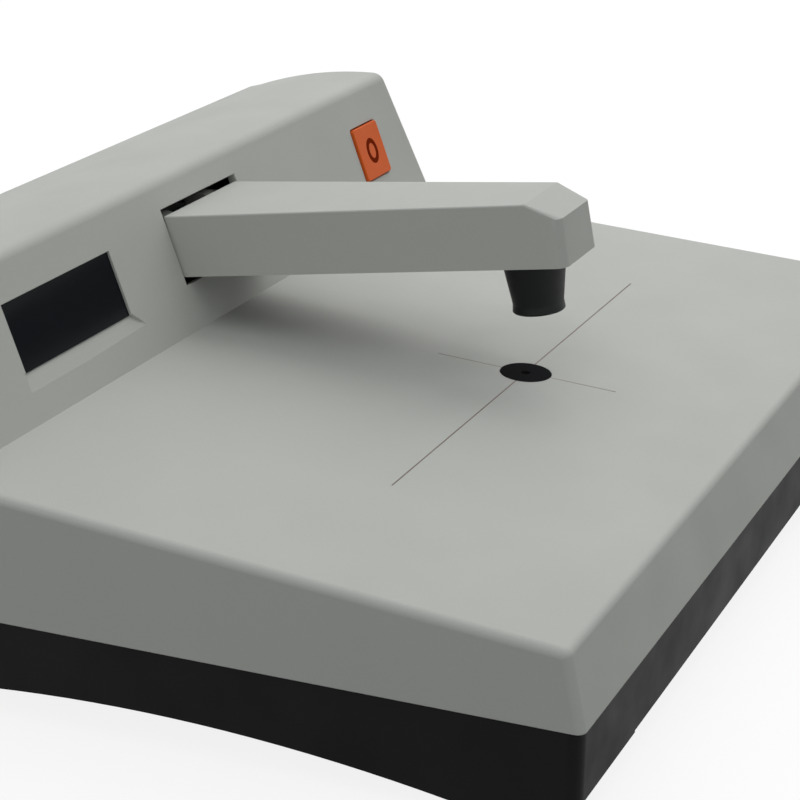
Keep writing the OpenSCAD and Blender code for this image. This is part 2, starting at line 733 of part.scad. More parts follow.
// ---------------------------------------------------------------- arm
// Left and right edge of the arm at v, a margin m inside
function arm_edge(side, v, m = 0) =
    let (root = arm_root_x[side], k = (v - arm_root_v) / (nose_v - arm_root_v))
    root + (nose_x[side] - root) * k + (side == 0 ? m : -m);
module arm_body(m) {
    r = inset_r(nose_r, m);
    low = m > 0 ? arm_low - over : arm_low;
    front = nose_v + m;
    rear = arm_end_v - m;
    fold = nose_v + nose_slope + m / 2;
    nose_top = arm_top - nose_drop - eps;
    hull() for (side = [0, 1]) {
        in_x = side == 0 ? 1 : -1;
        for (v = [front + r, rear - r]) translate([arm_edge(side, v, m) + in_x * r, v, low])
            cylinder(r = r, h = eps, $fn = 32);
        translate([arm_edge(side, front, m + arm_draft_x) + in_x * r, front + nose_lean + r, nose_top - m])
            cylinder(r = r, h = eps, $fn = 32);
        for (v = [fold, rear - arm_edge_r])
            translate([arm_edge(side, v, m + arm_draft_x) + in_x * arm_edge_r, v, arm_top - m - arm_edge_r])
                sphere(arm_edge_r, $fn = 16);
    }
}
// Cover under the arm and its two screws
cover_t = 1.8;
cover_gap = 0.15;
cover_side = arm_wall + 0.35;
cover_front = 4;
cover_rear_v = arm_root_v - 4;
cover_bore = 2.6;
arm_screw_v = [probe_v + 24, cover_rear_v - 16];
arm_post_d = 6;
arm_post_bore_len = 12;
head_clear = 0.2;
head_sunk = 1.2;
// Hinge ears, and the finger behind them that works the switch
ear_r = pin_r + 3.4;
striker_v = 28;
striker_half = 2.5;
function arm_mid(v) = (arm_edge(0, v) + arm_edge(1, v)) / 2;
module arm_housing() whole() color("#b7b8b1") arm_frame() difference() {
    union() {
        difference() {
            arm_body(0);
            arm_body(arm_wall);
        }
        for (v = arm_screw_v)
            translate([arm_mid(v), v, arm_low + cover_t])
                cylinder(d = arm_post_d, h = arm_top - arm_low - cover_t - arm_wall / 2);
        // A floor behind the cover stiffens the hinge end
        block([ears_x[0], cover_rear_v + cover_gap, arm_low], [ears_x[1], arm_end_v, arm_low + arm_wall]);
        // Hinge ears
        for (x = [ears_x[0], ears_x[1] - ear_w]) translate([x, 0, 0]) {
            bar_x(0, ear_w, ear_r);
            block([0, arm_end_v - 1, arm_low], [ear_w, ear_r, arm_top - arm_wall]);
        }
        block([ears_x[1] - ear_w, ear_r - 1, -striker_half], [ears_x[1], striker_v, striker_half]);
    }
    bar_x(ears_x[0] - over, ears_x[1] + over, pin_r + run_gap);
    for (v = arm_screw_v)
        translate([arm_mid(v), v, arm_low - over]) cylinder(d = cover_screw[0], h = arm_post_bore_len);
    // The spring's leg passes through the rear end
    block([ears_x[0] + ear_w, cover_rear_v, arm_low + arm_wall],
          [ears_x[1] - ear_w, arm_end_v + over, arm_top - arm_wall]);
    // The walls end at the slot, so that the hinge end clears the bracket
    for (x = [[arm_root_x[0] - over, ears_x[0]], [ears_x[1], arm_root_x[1] + over]])
        block([x[0], arm_end_v - eps, arm_low - over], [x[1], striker_v, arm_top + over]);
}
module cover_outline() {
    polygon([
        for (p = [[0, nose_v + cover_front], [1, nose_v + cover_front], [1, cover_rear_v], [0, cover_rear_v]])
            [arm_edge(p[0], p[1], cover_side), p[1]]
    ]);
}
module arm_cover() whole() color("#3a3c3e") arm_frame() difference() {
    translate([0, 0, arm_low]) linear_extrude(cover_t) cover_outline();
    translate([aperture_x, probe_v, arm_low - over]) cylinder(d = neck_d, h = cover_t + 2 * over);
    for (v = arm_screw_v)
        translate([arm_mid(v), v, arm_low - over]) {
            cylinder(d = cover_bore, h = cover_t + 2 * over);
            cylinder(d = cover_screw[2] + head_clear, h = over + head_sunk);
        }
}
module arm_screws() whole() color("#8a8d90") arm_frame() for (v = arm_screw_v)
    translate([arm_mid(v), v, arm_low + head_sunk]) rotate([180, 0, 0]) screw(cover_screw);

// ---------------------------------------------------------------- probe
// Nut on the neck, photodiode in the neck's top, lens in the probe's tip
nut_t = 2.6;
nut_side = 3;
diode_r = 4.1;
diode_t = 3;
diode_fit = 0.1;
neck_top = arm_low + cover_t + nut_t + 1.8;
lens_r = 4.2;
lens_t = 1.6;
lens_in = 0.6;
// The rim's chamfer, its height, and the height of the waist above the tip
rim_chamfer = [0.4, 0.5];
rim_h = 1.4;
rim_lean = 0.15;
waist_h = 3;
detector_size = [16, 23.5];
detector_front = 9.5;
module on_probe() { arm_frame() translate([aperture_x, probe_v, 0]) children(); }
module probe_cone() whole() color("#1b1d1f") on_probe() rotate_extrude($fn = 64) polygon([
    [probe_bore / 2, probe_tip_w + lens_in + lens_t],
    [lens_r, probe_tip_w + lens_in + lens_t],
    [lens_r, probe_tip_w],
    [probe_rim_d / 2 - rim_chamfer[0], probe_tip_w],
    [probe_rim_d / 2, probe_tip_w + rim_chamfer[1]],
    [probe_rim_d / 2 - rim_lean, probe_tip_w + rim_h],
    [probe_waist_d / 2, probe_tip_w + waist_h],
    [probe_d / 2, arm_low],
    [neck_d / 2, arm_low],
    [neck_d / 2, neck_top],
    [diode_r + diode_fit, neck_top],
    [diode_r + diode_fit, neck_top - diode_t],
    [probe_bore / 2, neck_top - diode_t]
]);
module probe_nut() whole() color("#9a9c9e") on_probe() translate([0, 0, arm_low + cover_t])
    linear_extrude(nut_t) difference() {
        circle(d = neck_d + 2 * nut_side, $fn = 6);
        circle(d = neck_d, $fn = 48);
    }
module probe_lens() whole() color("#33373b") on_probe() translate([0, 0, probe_tip_w + lens_in])
    cylinder(r = lens_r, h = lens_t);
module photodiode() whole() color("#a9a58f") on_probe() {
    translate([0, 0, neck_top - diode_t]) cylinder(r = diode_r, h = diode_t);
}
module detector_board() whole() color("#2f6b3a") on_probe()
    block([-detector_size[0] / 2, -detector_front, neck_top],
          [detector_size[0] / 2, detector_size[1] - detector_front, neck_top + board_t]);

// ---------------------------------------------------------------- hinge
// Sheet left round each bush, and the heights below the pin of the back plate and the cheek's front corners
cheek_r = bush_r + 1.2;
plate_top = pivot_z - 6.5;
cheek_front_z = [pivot_z - 18, pivot_z - 28];
cheek_points = [
    [bracket_y[0], floor_top], [bracket_y[1], floor_top], [bracket_y[1], plate_top],
    [pivot_y + cheek_r, pivot_z], [pivot_y - cheek_r, pivot_z],
    [pivot_y - cheek_r, cheek_front_z[0]], [bracket_y[0], cheek_front_z[1]]
];
module cheek() {
    rotate([90, 0, 90]) linear_extrude(sheet_t) difference() {
        union() {
            polygon(cheek_points);
            translate([pivot_y, pivot_z]) circle(cheek_r);
        }
        translate([pivot_y, pivot_z]) circle(bush_r);
    }
}
module pivot_bracket() whole() color("#9fa3a6") difference() {
    union() {
        for (x = [bracket_x[0], bracket_x[1] - sheet_t]) translate([x, 0, 0]) cheek();
        block([bracket_x[0] - flange_w, bracket_y[0], floor_top],
              [bracket_x[1] + flange_w, bracket_y[1], floor_top + sheet_t]);
        block([bracket_x[0], bracket_y[1] - sheet_t, floor_top], [bracket_x[1], bracket_y[1], plate_top]);
    }
    for (p = bracket_holes)
        translate([p[0], p[1], floor_top - over]) cylinder(d = bracket_bore, h = sheet_t + 2 * over);
}
module bracket_screws() whole() color("#8a8d90") for (p = bracket_holes)
    translate([p[0], p[1], floor_top + sheet_t]) screw(foot_screw);
// Flanged bushes, their flanges inside the cheeks
flange_r = bush_r + 1;
flange_t = 1;
module pivot_bushes() whole() color("#b08d4f") translate([0, pivot_y, pivot_z]) {
    for (side = [0, 1]) {
        cheek_in = side == 0 ? bracket_x[0] + sheet_t : bracket_x[1] - sheet_t;
        outward = side == 0 ? -1 : 1;
        rotate([0, 90, 0]) translate([0, 0, cheek_in]) rotate([side == 0 ? 180 : 0, 0, 0])
            ring(bush_r, pin_r, sheet_t);
        translate([min(cheek_in, cheek_in - outward * flange_t), 0, 0]) rotate([0, 90, 0])
            ring(flange_r, pin_r, flange_t);
    }
}
// The pin's ends with their grooves, and the clips in them
pin_out = 2.4;
groove_r = pin_r - 0.6;
groove_w = 0.8;
groove_gap = 0.1;
clip_r = pin_r + 2;
clip_t = 0.7;
clip_mouth = 3.2;
groove_x = [bracket_x[0] - groove_gap - groove_w, bracket_x[1] + groove_gap];
module pivot_pin() whole() color("#c2c5c8") translate([0, pivot_y, pivot_z]) difference() {
    bar_x(bracket_x[0] - pin_out, bracket_x[1] + pin_out, pin_r);
    for (x = groove_x) translate([x, 0, 0]) rotate([0, 90, 0]) ring(pin_r + over, groove_r, groove_w);
}
module pivot_clips() whole() color("#6f7375") translate([0, pivot_y, pivot_z])
    for (x = groove_x) translate([x + (groove_w - clip_t) / 2, 0, 0]) rotate([0, 90, 0])
        difference() {
            ring(clip_r, groove_r, clip_t);
            translate([-2 * clip_r, -clip_mouth / 2, -over])
                cube([2 * clip_r, clip_mouth, clip_t + 2 * over]);
        }
// Torsion spring round the pin: one leg under the arm's top, one on the bracket's back
torsion_wire_r = 0.6;
torsion_r = arm_top - arm_wall - seat_gap - torsion_wire_r;
torsion_turns = 6;
torsion_pitch = 1.6;
torsion_x = (ears_x[0] + ears_x[1]) / 2 - 5;
torsion_start = 90 + arm_rest;
torsion_end = torsion_start + 360 * (torsion_turns - 1) + 180;
torsion_steps = 10 * torsion_turns;
torsion_leg = 21;
function torsion_point(i) =
    let (a = torsion_start + (torsion_end - torsion_start) * i / torsion_steps)
        [torsion_x + torsion_pitch * (a - torsion_start) / 360,
         pivot_y + torsion_r * cos(a), pivot_z + torsion_r * sin(a)];
module arm_spring() whole() color("#8f9396") {
    first = torsion_point(0);
    last = torsion_point(torsion_steps);
    rest_z = plate_top + seat_gap + torsion_wire_r;
    reach = bracket_y[1] + 1 - last[1];
    front_leg = [for (k = [3 : -1 : 1]) first + k * torsion_leg / 3 * [0, -cos(arm_rest), sin(arm_rest)]];
    rear_leg = [for (k = [1 : 3]) last + k / 3 * [0, reach, rest_z - last[2]]];
    wire(concat(front_leg, [for (i = [0 : torsion_steps]) torsion_point(i)], rear_leg), torsion_wire_r);
}
// Microswitch on the bracket's back plate; the arm's finger lies on its leaf
lever_back = 18;
lever_y = bracket_back + lever_back;
lever_z = -5.4;
lever_r = 0.86;
leaf_len = 14.4;
leaf_t = 0.5;
leaf_gap = 0.1;
leaf_x = [ears_x[1] - ear_w + 1, ears_x[1] - 1];
switch_z = [-13, -2.4];
switch_back = 3;
switch_lug = [0.75, 2.5];
switch_side_w = 1;
button_y = [-12, -10];
button_top = -1.3;
module at_switch() { translate([0, pivot_y + lever_y, pivot_z + lever_z]) children(); }
module read_switch() whole() color("#23272b") at_switch() {
    x0 = leaf_x[0] - switch_side_w;
    x1 = leaf_x[1] + switch_side_w;
    difference() {
        union() {
            block([x0, bracket_back - lever_y, switch_z[0]], [x1, switch_back, switch_z[1]]);
            for (x = [x0, x1 - switch_lug[0]])
                block([x, -switch_lug[1], switch_z[1] - over], [x + switch_lug[0], switch_lug[1], 2]);
        }
        bar_x(x0 - over, x1 + over, lever_r + run_gap);
    }
    block([leaf_x[0] + 1, button_y[0], switch_z[1] - leaf_gap], [leaf_x[1] - 1, button_y[1], button_top]);
}
module read_lever() whole() color("#b9bdc0") at_switch() {
    bar_x(leaf_x[0] - switch_side_w + 0.4, leaf_x[1] + switch_side_w - 0.4, lever_r);
    block([leaf_x[0] + leaf_gap, -leaf_len, -0.4 - leaf_t], [leaf_x[1] - leaf_gap, 0, -0.4]);
}

// ---------------------------------------------------------------- aperture and lamp
module aperture_disc() whole() color("#1c1c1d") on_table() difference() {
    translate([0, 0, -disc_t]) cylinder(d = disc_d, h = disc_t);
    translate([0, 0, -disc_t - over]) cylinder(d = spot_d, h = disc_t + 2 * over);
}
module diffuser() whole() color("#e8e6dc") on_table() translate([0, 0, -wall - diffuser_t])
    cylinder(d = diffuser_d, h = diffuser_t - hair);
// Light box: a tube with the diffuser in its top, and a plate that is screwed to the posts
lamp_bore = 7.5;
lamp_plate_t = 3;
lamp_plate_size = [2 * lamp_post_x + 9, 12];
lamp_plate_r = 4;
lamp_plate_z = -wall - lamp_post_len - lamp_plate_t;
module lamp_housing() whole() color("#202224") on_table() difference() {
    union() {
        translate([0, 0, lamp_low]) cylinder(d = lamp_box_d, h = lamp_box_h - hair);
        translate([0, 0, lamp_plate_z]) linear_extrude(lamp_plate_t)
            rounded(lamp_plate_size[0], lamp_plate_size[1], lamp_plate_r);
    }
    translate([0, 0, -wall - diffuser_t]) cylinder(d = diffuser_d + 2 * disc_fit, h = diffuser_t + over);
    translate([0, 0, lamp_low - over]) cylinder(r = lamp_bore, h = lamp_box_h);
    for (s = [-1, 1]) translate([s * lamp_post_x, 0, lamp_plate_z]) {
        translate([0, 0, -over]) cylinder(d = board_hole_d, h = lamp_plate_t + 2 * over);
        translate([0, 0, lamp_plate_t]) cylinder(d = lamp_post_d + 2 * seat_gap, h = lamp_post_len + over);
    }
}
module lamp_screws() whole() color("#8a8d90") on_table() for (s = [-1, 1])
    translate([s * lamp_post_x, 0, lamp_plate_z]) rotate([180, 0, 0]) screw(lamp_screw);
// Lamp and its socket, which closes the light box from below
lamp_low = -wall - lamp_box_h;
lamp_r = 3;
lamp_len = 12;
socket_rim = 2;
socket_t = 3;
socket_neck = 5;
socket_fit = 0.1;
module lamp() whole() color("#dfe3e4") on_table() translate([0, 0, lamp_low]) {
    cylinder(r = lamp_r, h = lamp_len);
    translate([0, 0, lamp_len]) sphere(lamp_r);
}
module lamp_socket() whole() color("#e4e0d2") on_table() difference() {
    union() {
        translate([0, 0, lamp_low - socket_t]) cylinder(d = lamp_box_d - 2 * socket_rim, h = socket_t);
        translate([0, 0, lamp_low - eps]) cylinder(r = lamp_bore - socket_fit, h = socket_neck);
    }
    translate([0, 0, lamp_low]) cylinder(r = lamp_r + disc_fit, h = socket_neck + over);
}

// ---------------------------------------------------------------- electronics
module main_board() whole() color("#2a6136") difference() {
    block([-main_w / 2, main_y, main_z], [main_w / 2, main_y + main_d, main_z + board_t]);
    for (p = main_holes)
        translate([p[0], p[1], main_z - over]) cylinder(d = main_screw[0] + 0.4, h = board_t + 2 * over);
}
// A package on the board: its middle, its width and depth, and its height
module chip(x, y, w, d, h) {
    translate([x - w / 2, main_y + y - d / 2, main_z + board_t]) cube([w, d, h]);
}
module can(x, y, r, h) { translate([x, main_y + y, main_z + board_t]) cylinder(r = r, h = h); }
chip_h = 4;
left_x = -main_w / 2;
right_x = main_w / 2;
processor = [left_x + 48, 40, 52, 15];
memory = [left_x + 48, 70, 37, 8];
driver = [20, 8];
driver_x = [-30, 0];
driver_back = 38;
logic = [9, 7];
logic_x = left_x + 18;
logic_pitch = 18;
logic_y = 18;
big_can = [6, 14];
big_can_x = right_x - 56;
big_can_y = 28;
small_can = [4, 10];
small_can_at = [right_x - 70, 60];
relay = [right_x - 22, 66, 16, 12, 11];
module board_chips() whole() color("#1d1f22") {
    chip(processor[0], processor[1], processor[2], processor[3], chip_h);
    chip(memory[0], memory[1], memory[2], memory[3], chip_h);
    for (x = driver_x) chip(x, main_d - driver_back, driver[0], driver[1], chip_h);
    for (i = [0 : 3]) chip(logic_x + logic_pitch * i, logic_y, logic[0], logic[1], chip_h);
    for (i = [0 : 2]) can(big_can_x + logic_pitch * i, big_can_y, big_can[0], big_can[1]);
    can(small_can_at[0], small_can_at[1], small_can[0], small_can[1]);
    chip(relay[0], relay[1], relay[2], relay[3], relay[4]);
}
// Finned sink of the voltage regulator
sink_x = right_x - 34;
sink_back = 34;
sink_w = 44;
sink_h = 22;
sink_t = 3;
fin_t = 1.6;
fin_len = 12;
fin_root = 1;
fin_count = 7;
module heat_sink() whole() color("#55585b") {
    y = main_d - sink_back;
    fin_y = y + (sink_t + fin_len - fin_root) / 2;
    pitch = (sink_w - 2 * fin_t) / (fin_count - 1);
    chip(sink_x, y, sink_w, sink_t, sink_h);
    for (i = [0 : fin_count - 1])
        chip(sink_x + (i - (fin_count - 1) / 2) * pitch, fin_y, fin_t, fin_len, sink_h);
}

// ---------------------------------------------------------------- rear sockets
jack_rim = 1.4;
rear_lip_t = 1.2;
jack_len = 13;
jack_depth = 10;
jack_fit = 0.1;
module power_jack() whole() color("#1b1c1e") at_rear(jack_x) difference() {
    union() {
        rotate([-90, 0, 0]) cylinder(r = jack_r + jack_rim, h = rear_lip_t);
        rotate([90, 0, 0]) cylinder(r = jack_r - jack_fit, h = jack_len);
    }
    rotate([90, 0, 0]) translate([0, 0, jack_depth - jack_len]) cylinder(r = jack_bore, h = jack_len);
}
// Switch body with a round seat for the rocker's pivot
switch_lip = [22.4, 15.6];
switch_len = 14;
switch_cavity = 10;
rocker_size = [15, 9];
rocker_room = [0.6, 0.2];
rocker_pivot = -4.6;
rocker_pivot_r = 1.2;
rocker_pin = 1.1;
module power_switch() whole() color("#17181a") at_rear(switch_x) difference() {
    body = [switch_cut[0] / 2 - jack_fit, switch_cut[1] / 2 - jack_fit];
    room = [rocker_size[0] / 2 + rocker_room[0], rocker_size[1] / 2 + rocker_room[1]];
    union() {
        translate([-switch_lip[0] / 2, 0, -switch_lip[1] / 2])
            cube([switch_lip[0], rear_lip_t, switch_lip[1]]);
        block([-body[0], -switch_len, -body[1]], [body[0], eps, body[1]]);
    }
    block([-room[0], -switch_cavity, -room[1]], [room[0], rear_lip_t + over, room[1]]);
    translate([0, rocker_pivot, -rocker_size[1] / 2 - rocker_pin - jack_fit])
        cylinder(r = rocker_pivot_r + disc_fit, h = rocker_size[1] + 2 * (rocker_pin + jack_fit));
}
// Rocker: two pads that meet in a shallow valley over the pivot
rocker_face = [[7.2, 0.6], [7.1, 6.4], [0, 5]];
rocker_root = [3, -4];
module power_rocker() whole() color("#101112") at_rear(switch_x) translate([0, rocker_pivot, 0])
    rotate([0, 0, -rocker_tilt]) {
        translate([0, 0, -rocker_size[1] / 2]) linear_extrude(rocker_size[1]) polygon([
            [-rocker_face[0][0], rocker_face[0][1]], [-rocker_root[0], rocker_root[1]], rocker_root,
            rocker_face[0], rocker_face[1], rocker_face[2], [-rocker_face[1][0], rocker_face[1][1]]
        ]);
        translate([0, 0, -rocker_size[1] / 2 - rocker_pin])
            cylinder(r = rocker_pivot_r, h = rocker_size[1] + 2 * rocker_pin);
    }

upper_shell();
lower_base();
display_window();
led_display();
display_board();
display_ribbon();
zero_key();
key_spring();
key_switch();
key_board();
board_screws();
arm_housing();
arm_cover();
arm_screws();
probe_cone();
probe_nut();
probe_lens();
photodiode();
detector_board();
pivot_bracket();
pivot_bushes();
pivot_pin();
pivot_clips();
arm_spring();
bracket_screws();
read_switch();
read_lever();
aperture_disc();
diffuser();
lamp_housing();
lamp_screws();
lamp();
lamp_socket();
main_board();
board_chips();
heat_sink();
power_jack();
power_switch();
power_rocker();
rubber_feet();
case_screws();
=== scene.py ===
"""Looks of a desktop film densitometer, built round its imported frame. Every length is in metres."""

import json
import math

import bmesh
import bpy
from mathutils import Matrix, Vector

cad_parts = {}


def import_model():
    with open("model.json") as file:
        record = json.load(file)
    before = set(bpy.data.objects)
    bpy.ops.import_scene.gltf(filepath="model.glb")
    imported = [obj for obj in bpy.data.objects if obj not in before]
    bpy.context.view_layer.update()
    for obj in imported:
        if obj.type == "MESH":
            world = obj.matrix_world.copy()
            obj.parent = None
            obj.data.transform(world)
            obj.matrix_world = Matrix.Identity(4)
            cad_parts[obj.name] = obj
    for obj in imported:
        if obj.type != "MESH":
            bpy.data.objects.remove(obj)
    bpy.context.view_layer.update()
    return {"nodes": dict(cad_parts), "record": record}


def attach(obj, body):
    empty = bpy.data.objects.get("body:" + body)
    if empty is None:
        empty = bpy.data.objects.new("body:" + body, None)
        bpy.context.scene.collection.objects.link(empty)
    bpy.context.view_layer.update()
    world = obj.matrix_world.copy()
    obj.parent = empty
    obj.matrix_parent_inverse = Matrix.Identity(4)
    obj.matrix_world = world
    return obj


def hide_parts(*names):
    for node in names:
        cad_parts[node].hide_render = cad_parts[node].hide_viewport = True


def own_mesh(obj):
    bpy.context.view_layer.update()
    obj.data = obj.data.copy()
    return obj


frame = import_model()

MM = 0.001

# ---------------------------------------------------------------- sizes, as the frame has them
CASE_W = 348 * MM
CASE_D = 287 * MM
SEAM_Z = 31 * MM
WALL = 3 * MM
SIDE_DRAFT = 9.8
FRONT_DRAFT = 14.7
REAR_DRAFT = 12
EDGE_R = 2.6 * MM
SEAM_BEVEL = 0.3 * MM

TABLE_RISE = 20.2 * MM
TABLE_TILT = 5
LINE_DEPTH = 0.2 * MM
LINE_W = 0.5 * MM
LINE_X = 104 * MM
LINE_Y = 31 * MM
# The ink in the lines: its thickness, how far it stays off their ends, its half widths as shares of LINE_W
INK_FILL = 0.17 * MM
INK_OFF_DISC = 0.1 * MM
INK_OFF_END = 0.5 * MM
INK_WIDE = 0.44
INK_THIN = 0.2

CONSOLE_Y = 190.8 * MM
FACE_LEAN = 19
CROWN_H = 85.6 * MM
CROWN_Y = 212 * MM
CROWN_R = 145 * MM
RIDGE_R = 4.5 * MM
REAR_R = 8 * MM
END_R = 1.3 * MM
# The least radii, for the inside of the wall
LEAST_R = 0.3 * MM
LEAST_RIDGE_R = 0.6 * MM
LEAST_REAR_R = 1.5 * MM
# The table's ends are rounded a hair less than its front edge
TABLE_END_SHARE = 0.98
# Where the table's body ends, inside the console's
TABLE_BACK = CONSOLE_Y + 9 * MM
INSIDE_BACK = CONSOLE_Y + 6 * MM
# Steps of the rounded edges and of the crown
END_STEPS = 6
EDGE_STEPS = 6
RIDGE_STEPS = 8
CROWN_STEPS = 28

BASE_INSET = 0.9 * MM
BASE_DRAFT = 3
FLOOR_Z = 11.4 * MM
PAD_SIDE = 22 * MM
SCREW_YS = (44 * MM, 226 * MM)
SCREW_D = 3 * MM
SCREW_LENGTH = 36 * MM
SCREW_HEAD_D = 7 * MM
SCREW_HEAD_H = 2.4 * MM
SCREW_STEPS = 32
# A screw's point, as shares of its diameter
POINT_R = 0.32
POINT_H = 0.4
# A pan head's profile and cross recess, as shares of its diameter and height
PAN_HEAD = ((0.5, 0), (0.5, 0.45), (0.46, 0.68), (0.36, 0.87), (0.2, 0.97), (0.05, 1))
RECESS_REACH = 0.27
RECESS_HALF_W = 0.075
RECESS_FLOOR = 0.4

DISC_D = 16.8 * MM
DISC_T = 1.8 * MM
DISC_PLAY = 0.05 * MM
DISC_LEDGE = 2.5 * MM
DISC_RIM = 0.1 * MM
DISC_STEPS = 96
APERTURE_X = 1 * MM
APERTURE_Y = 84.2 * MM

ARM_ROOT_X = (-20.5 * MM, 29.1 * MM)
SLOT_GAP = 0.6 * MM
SLOT_S = (15 * MM, 41.4 * MM)

WINDOW_W = 60.4 * MM
WINDOW_H = 21.7 * MM
WINDOW_X = -86.8 * MM
WINDOW_S = 26.2 * MM
WINDOW_RIM = 0.12 * MM
SILL_H = 5.8 * MM
SILL_FLARE = 6 * MM
SILL_DEPTH = 1.4 * MM
SILL_RISE = 1 * MM
SILL_EDGE = 0.6 * MM
SILL_LIFT = 0.3 * MM

KEY_W = 20.6 * MM
KEY_X = 129.6 * MM
KEY_S = 25.9 * MM
KEY_PROUD = 1 * MM
KEY_GAP = 0.4 * MM
KEY_R = 1.2 * MM
KEY_LOW = -3.6 * MM
KEY_WALL = 1.6 * MM
# The cap's crown: each ring's inset, and its height from the top
KEY_CROWN = ((0, -0.4 * MM), (0.07 * MM, -0.18 * MM), (0.25 * MM, -0.05 * MM), (0.6 * MM, 0))
KEY_LEAST_R = 0.4 * MM
KEY_SMOOTH_ANGLE = 40
MARK_W = 6.6 * MM
MARK_H = 8 * MM
MARK_STROKE = 2 * MM
KEY_STEM_R = 3 * MM
KEY_STEM_LOW = -16 * MM
KEY_STEM_TOP = 0.5 * MM
KEY_SWITCH_TOP = -8.4 * MM
COIL_R = 4.4 * MM
COIL_WIRE_R = 0.3 * MM
COIL_GAP = 0.2 * MM
COIL_TURNS = 5
COIL_STEPS = 24
COIL_SIDES = 8

SOCKET_Z = 21.5 * MM
SWITCH_X = 78 * MM
ROCKER_PIVOT = -4.6 * MM
ROCKER_TILT = 8
# The rocker's two pads: their slope, and where their middles are
ROCKER_SLOPE = math.atan2(1.4, 7.1)
ROCKER_PAD_X = 3.8 * MM
ROCKER_PAD_OUT = 5.75 * MM
RING_W = 2.2 * MM
RING_H = 3.4 * MM
RING_STROKE = 0.45 * MM
BAR_HALF_W = 0.25 * MM
BAR_HALF_H = 1.7 * MM

INK_T = 0.03 * MM
RIM = 0.25 * MM
OVER = 4 * MM
# Points this near lie on one plane; a normal's upright part is below this on a wall
TOUCH = 1e-6
WALL_NORMAL = 0.9

# Smoothing, in degrees, and the weight that keeps flat faces flat
SMOOTH_ANGLE = 32
WIRE_ANGLE = 75
BEVEL_ANGLE = 40
BEVEL_SEGMENTS = 3
FLAT_WEIGHT = 90
WELD_GAP = 0.002 * MM

# ---------------------------------------------------------------- looks
# Cells in a metre of each kind of noise
MOTTLE_CELLS = 14
GLOSS_CELLS = 35
METAL_CELLS = 60
SMEAR_CELLS = 80
TRACE_CELLS = 260.0
SPECK_SHARE = 0.10
SPECK_LIFT = 1.25
METAL_STRETCH = (0.05, 1, 1)
METAL_DEPTH = 0.004 * MM
METAL_DARK = 0.92
METAL_LIGHT = 1.05
METAL_SMOOTHER = 0.08
METAL_ROUGHER = 0.1
GLASS_ROUGHNESS = 0.05
GLASS_IOR = 1.5
TRACE_W = 0.012
MASK_DARK = (0.012, 0.09, 0.03, 1)
MASK_LIGHT = (0.03, 0.16, 0.06, 1)
MASK_GREEN = (0.02, 0.12, 0.05, 1)

# The soft light of the surround, from the horizon up
HORIZON_LIGHT = 0.34
ZENITH_LIGHT = 0.86
SKY_POWER = 2.0
SKY_COLOUR = (0.95, 0.98, 1.0, 1)

FLOOR_HALF = 3.0
FLOOR_DROP = -0.05 * MM
FLOOR_GREY = 0.1
FLOOR_ROUGHNESS = 0.8
FLOOR_SHINE = 0.86

# Each lamp's name, place, size and power in watts; all face LAMP_TARGET
LAMPS = (
    ("key_light", (0.75, -0.05, 1.1), (1.2, 1.2), 6.4),
    ("fill_light", (-0.7, -0.2, 1.0), (0.8, 0.8), 0.8),
)
LAMP_TARGET = (0, 0, 0.05)

CAMERA_PLACE = (-644.26 * MM, -313.11 * MM, 302.81 * MM)
CAMERA_HEADING = 65.15
CAMERA_DIP = 20.07
CAMERA_ROLL = -1.18
CAMERA_LENS = 102.08
CAMERA_CLIP = (0.01, 20)
SENSOR = 36


def sin(angle):
    return math.sin(math.radians(angle))


def cos(angle):
    return math.cos(math.radians(angle))


def tan(angle):
    return math.tan(math.radians(angle))


# The frame's origin is below the middle of the case; y is counted from the seam's front edge
ORIGIN = Matrix.Translation((0, -CASE_D / 2, 0))
CONSOLE_Z = SEAM_Z + TABLE_RISE + CONSOLE_Y * tan(TABLE_TILT)


def side_x(z, m=0.0):
    return CASE_W / 2 - (z - SEAM_Z) * tan(SIDE_DRAFT) - m / cos(SIDE_DRAFT)


def front_y(z, m=0.0):
    return (z - SEAM_Z) * tan(FRONT_DRAFT) + m / cos(FRONT_DRAFT)


def rear_y(z, m=0.0):
    return CASE_D - (z - SEAM_Z) * tan(REAR_DRAFT) - m / cos(REAR_DRAFT)


def table_z(y, m=0.0):
    return SEAM_Z + TABLE_RISE + y * tan(TABLE_TILT) - m / cos(TABLE_TILT)


def face_y(z, m=0.0):
    return CONSOLE_Y + (z - CONSOLE_Z) * tan(FACE_LEAN) + m / cos(FACE_LEAN)


def crown_z(y, m=0.0):
    return SEAM_Z + CROWN_H - (y - CROWN_Y) ** 2 / (2 * CROWN_R) - m


def crown_slope(y):
    return math.degrees(math.atan((y - CROWN_Y) / CROWN_R))


ON_TABLE = (
    ORIGIN
    @ Matrix.Translation((APERTURE_X, APERTURE_Y, table_z(APERTURE_Y)))
    @ Matrix.Rotation(math.radians(TABLE_TILT), 4, "X")
)
ON_FACE = (
    ORIGIN
    @ Matrix.Translation((0, CONSOLE_Y, CONSOLE_Z))
    @ Matrix.Rotation(math.radians(90 - FACE_LEAN), 4, "X")
)
AT_REAR = (
    ORIGIN
    @ Matrix.Translation((0, CASE_D - BASE_INSET - (SEAM_Z - SOCKET_Z) * tan(BASE_DRAFT), SOCKET_Z))
    @ Matrix.Rotation(math.radians(-BASE_DRAFT), 4, "X")
)


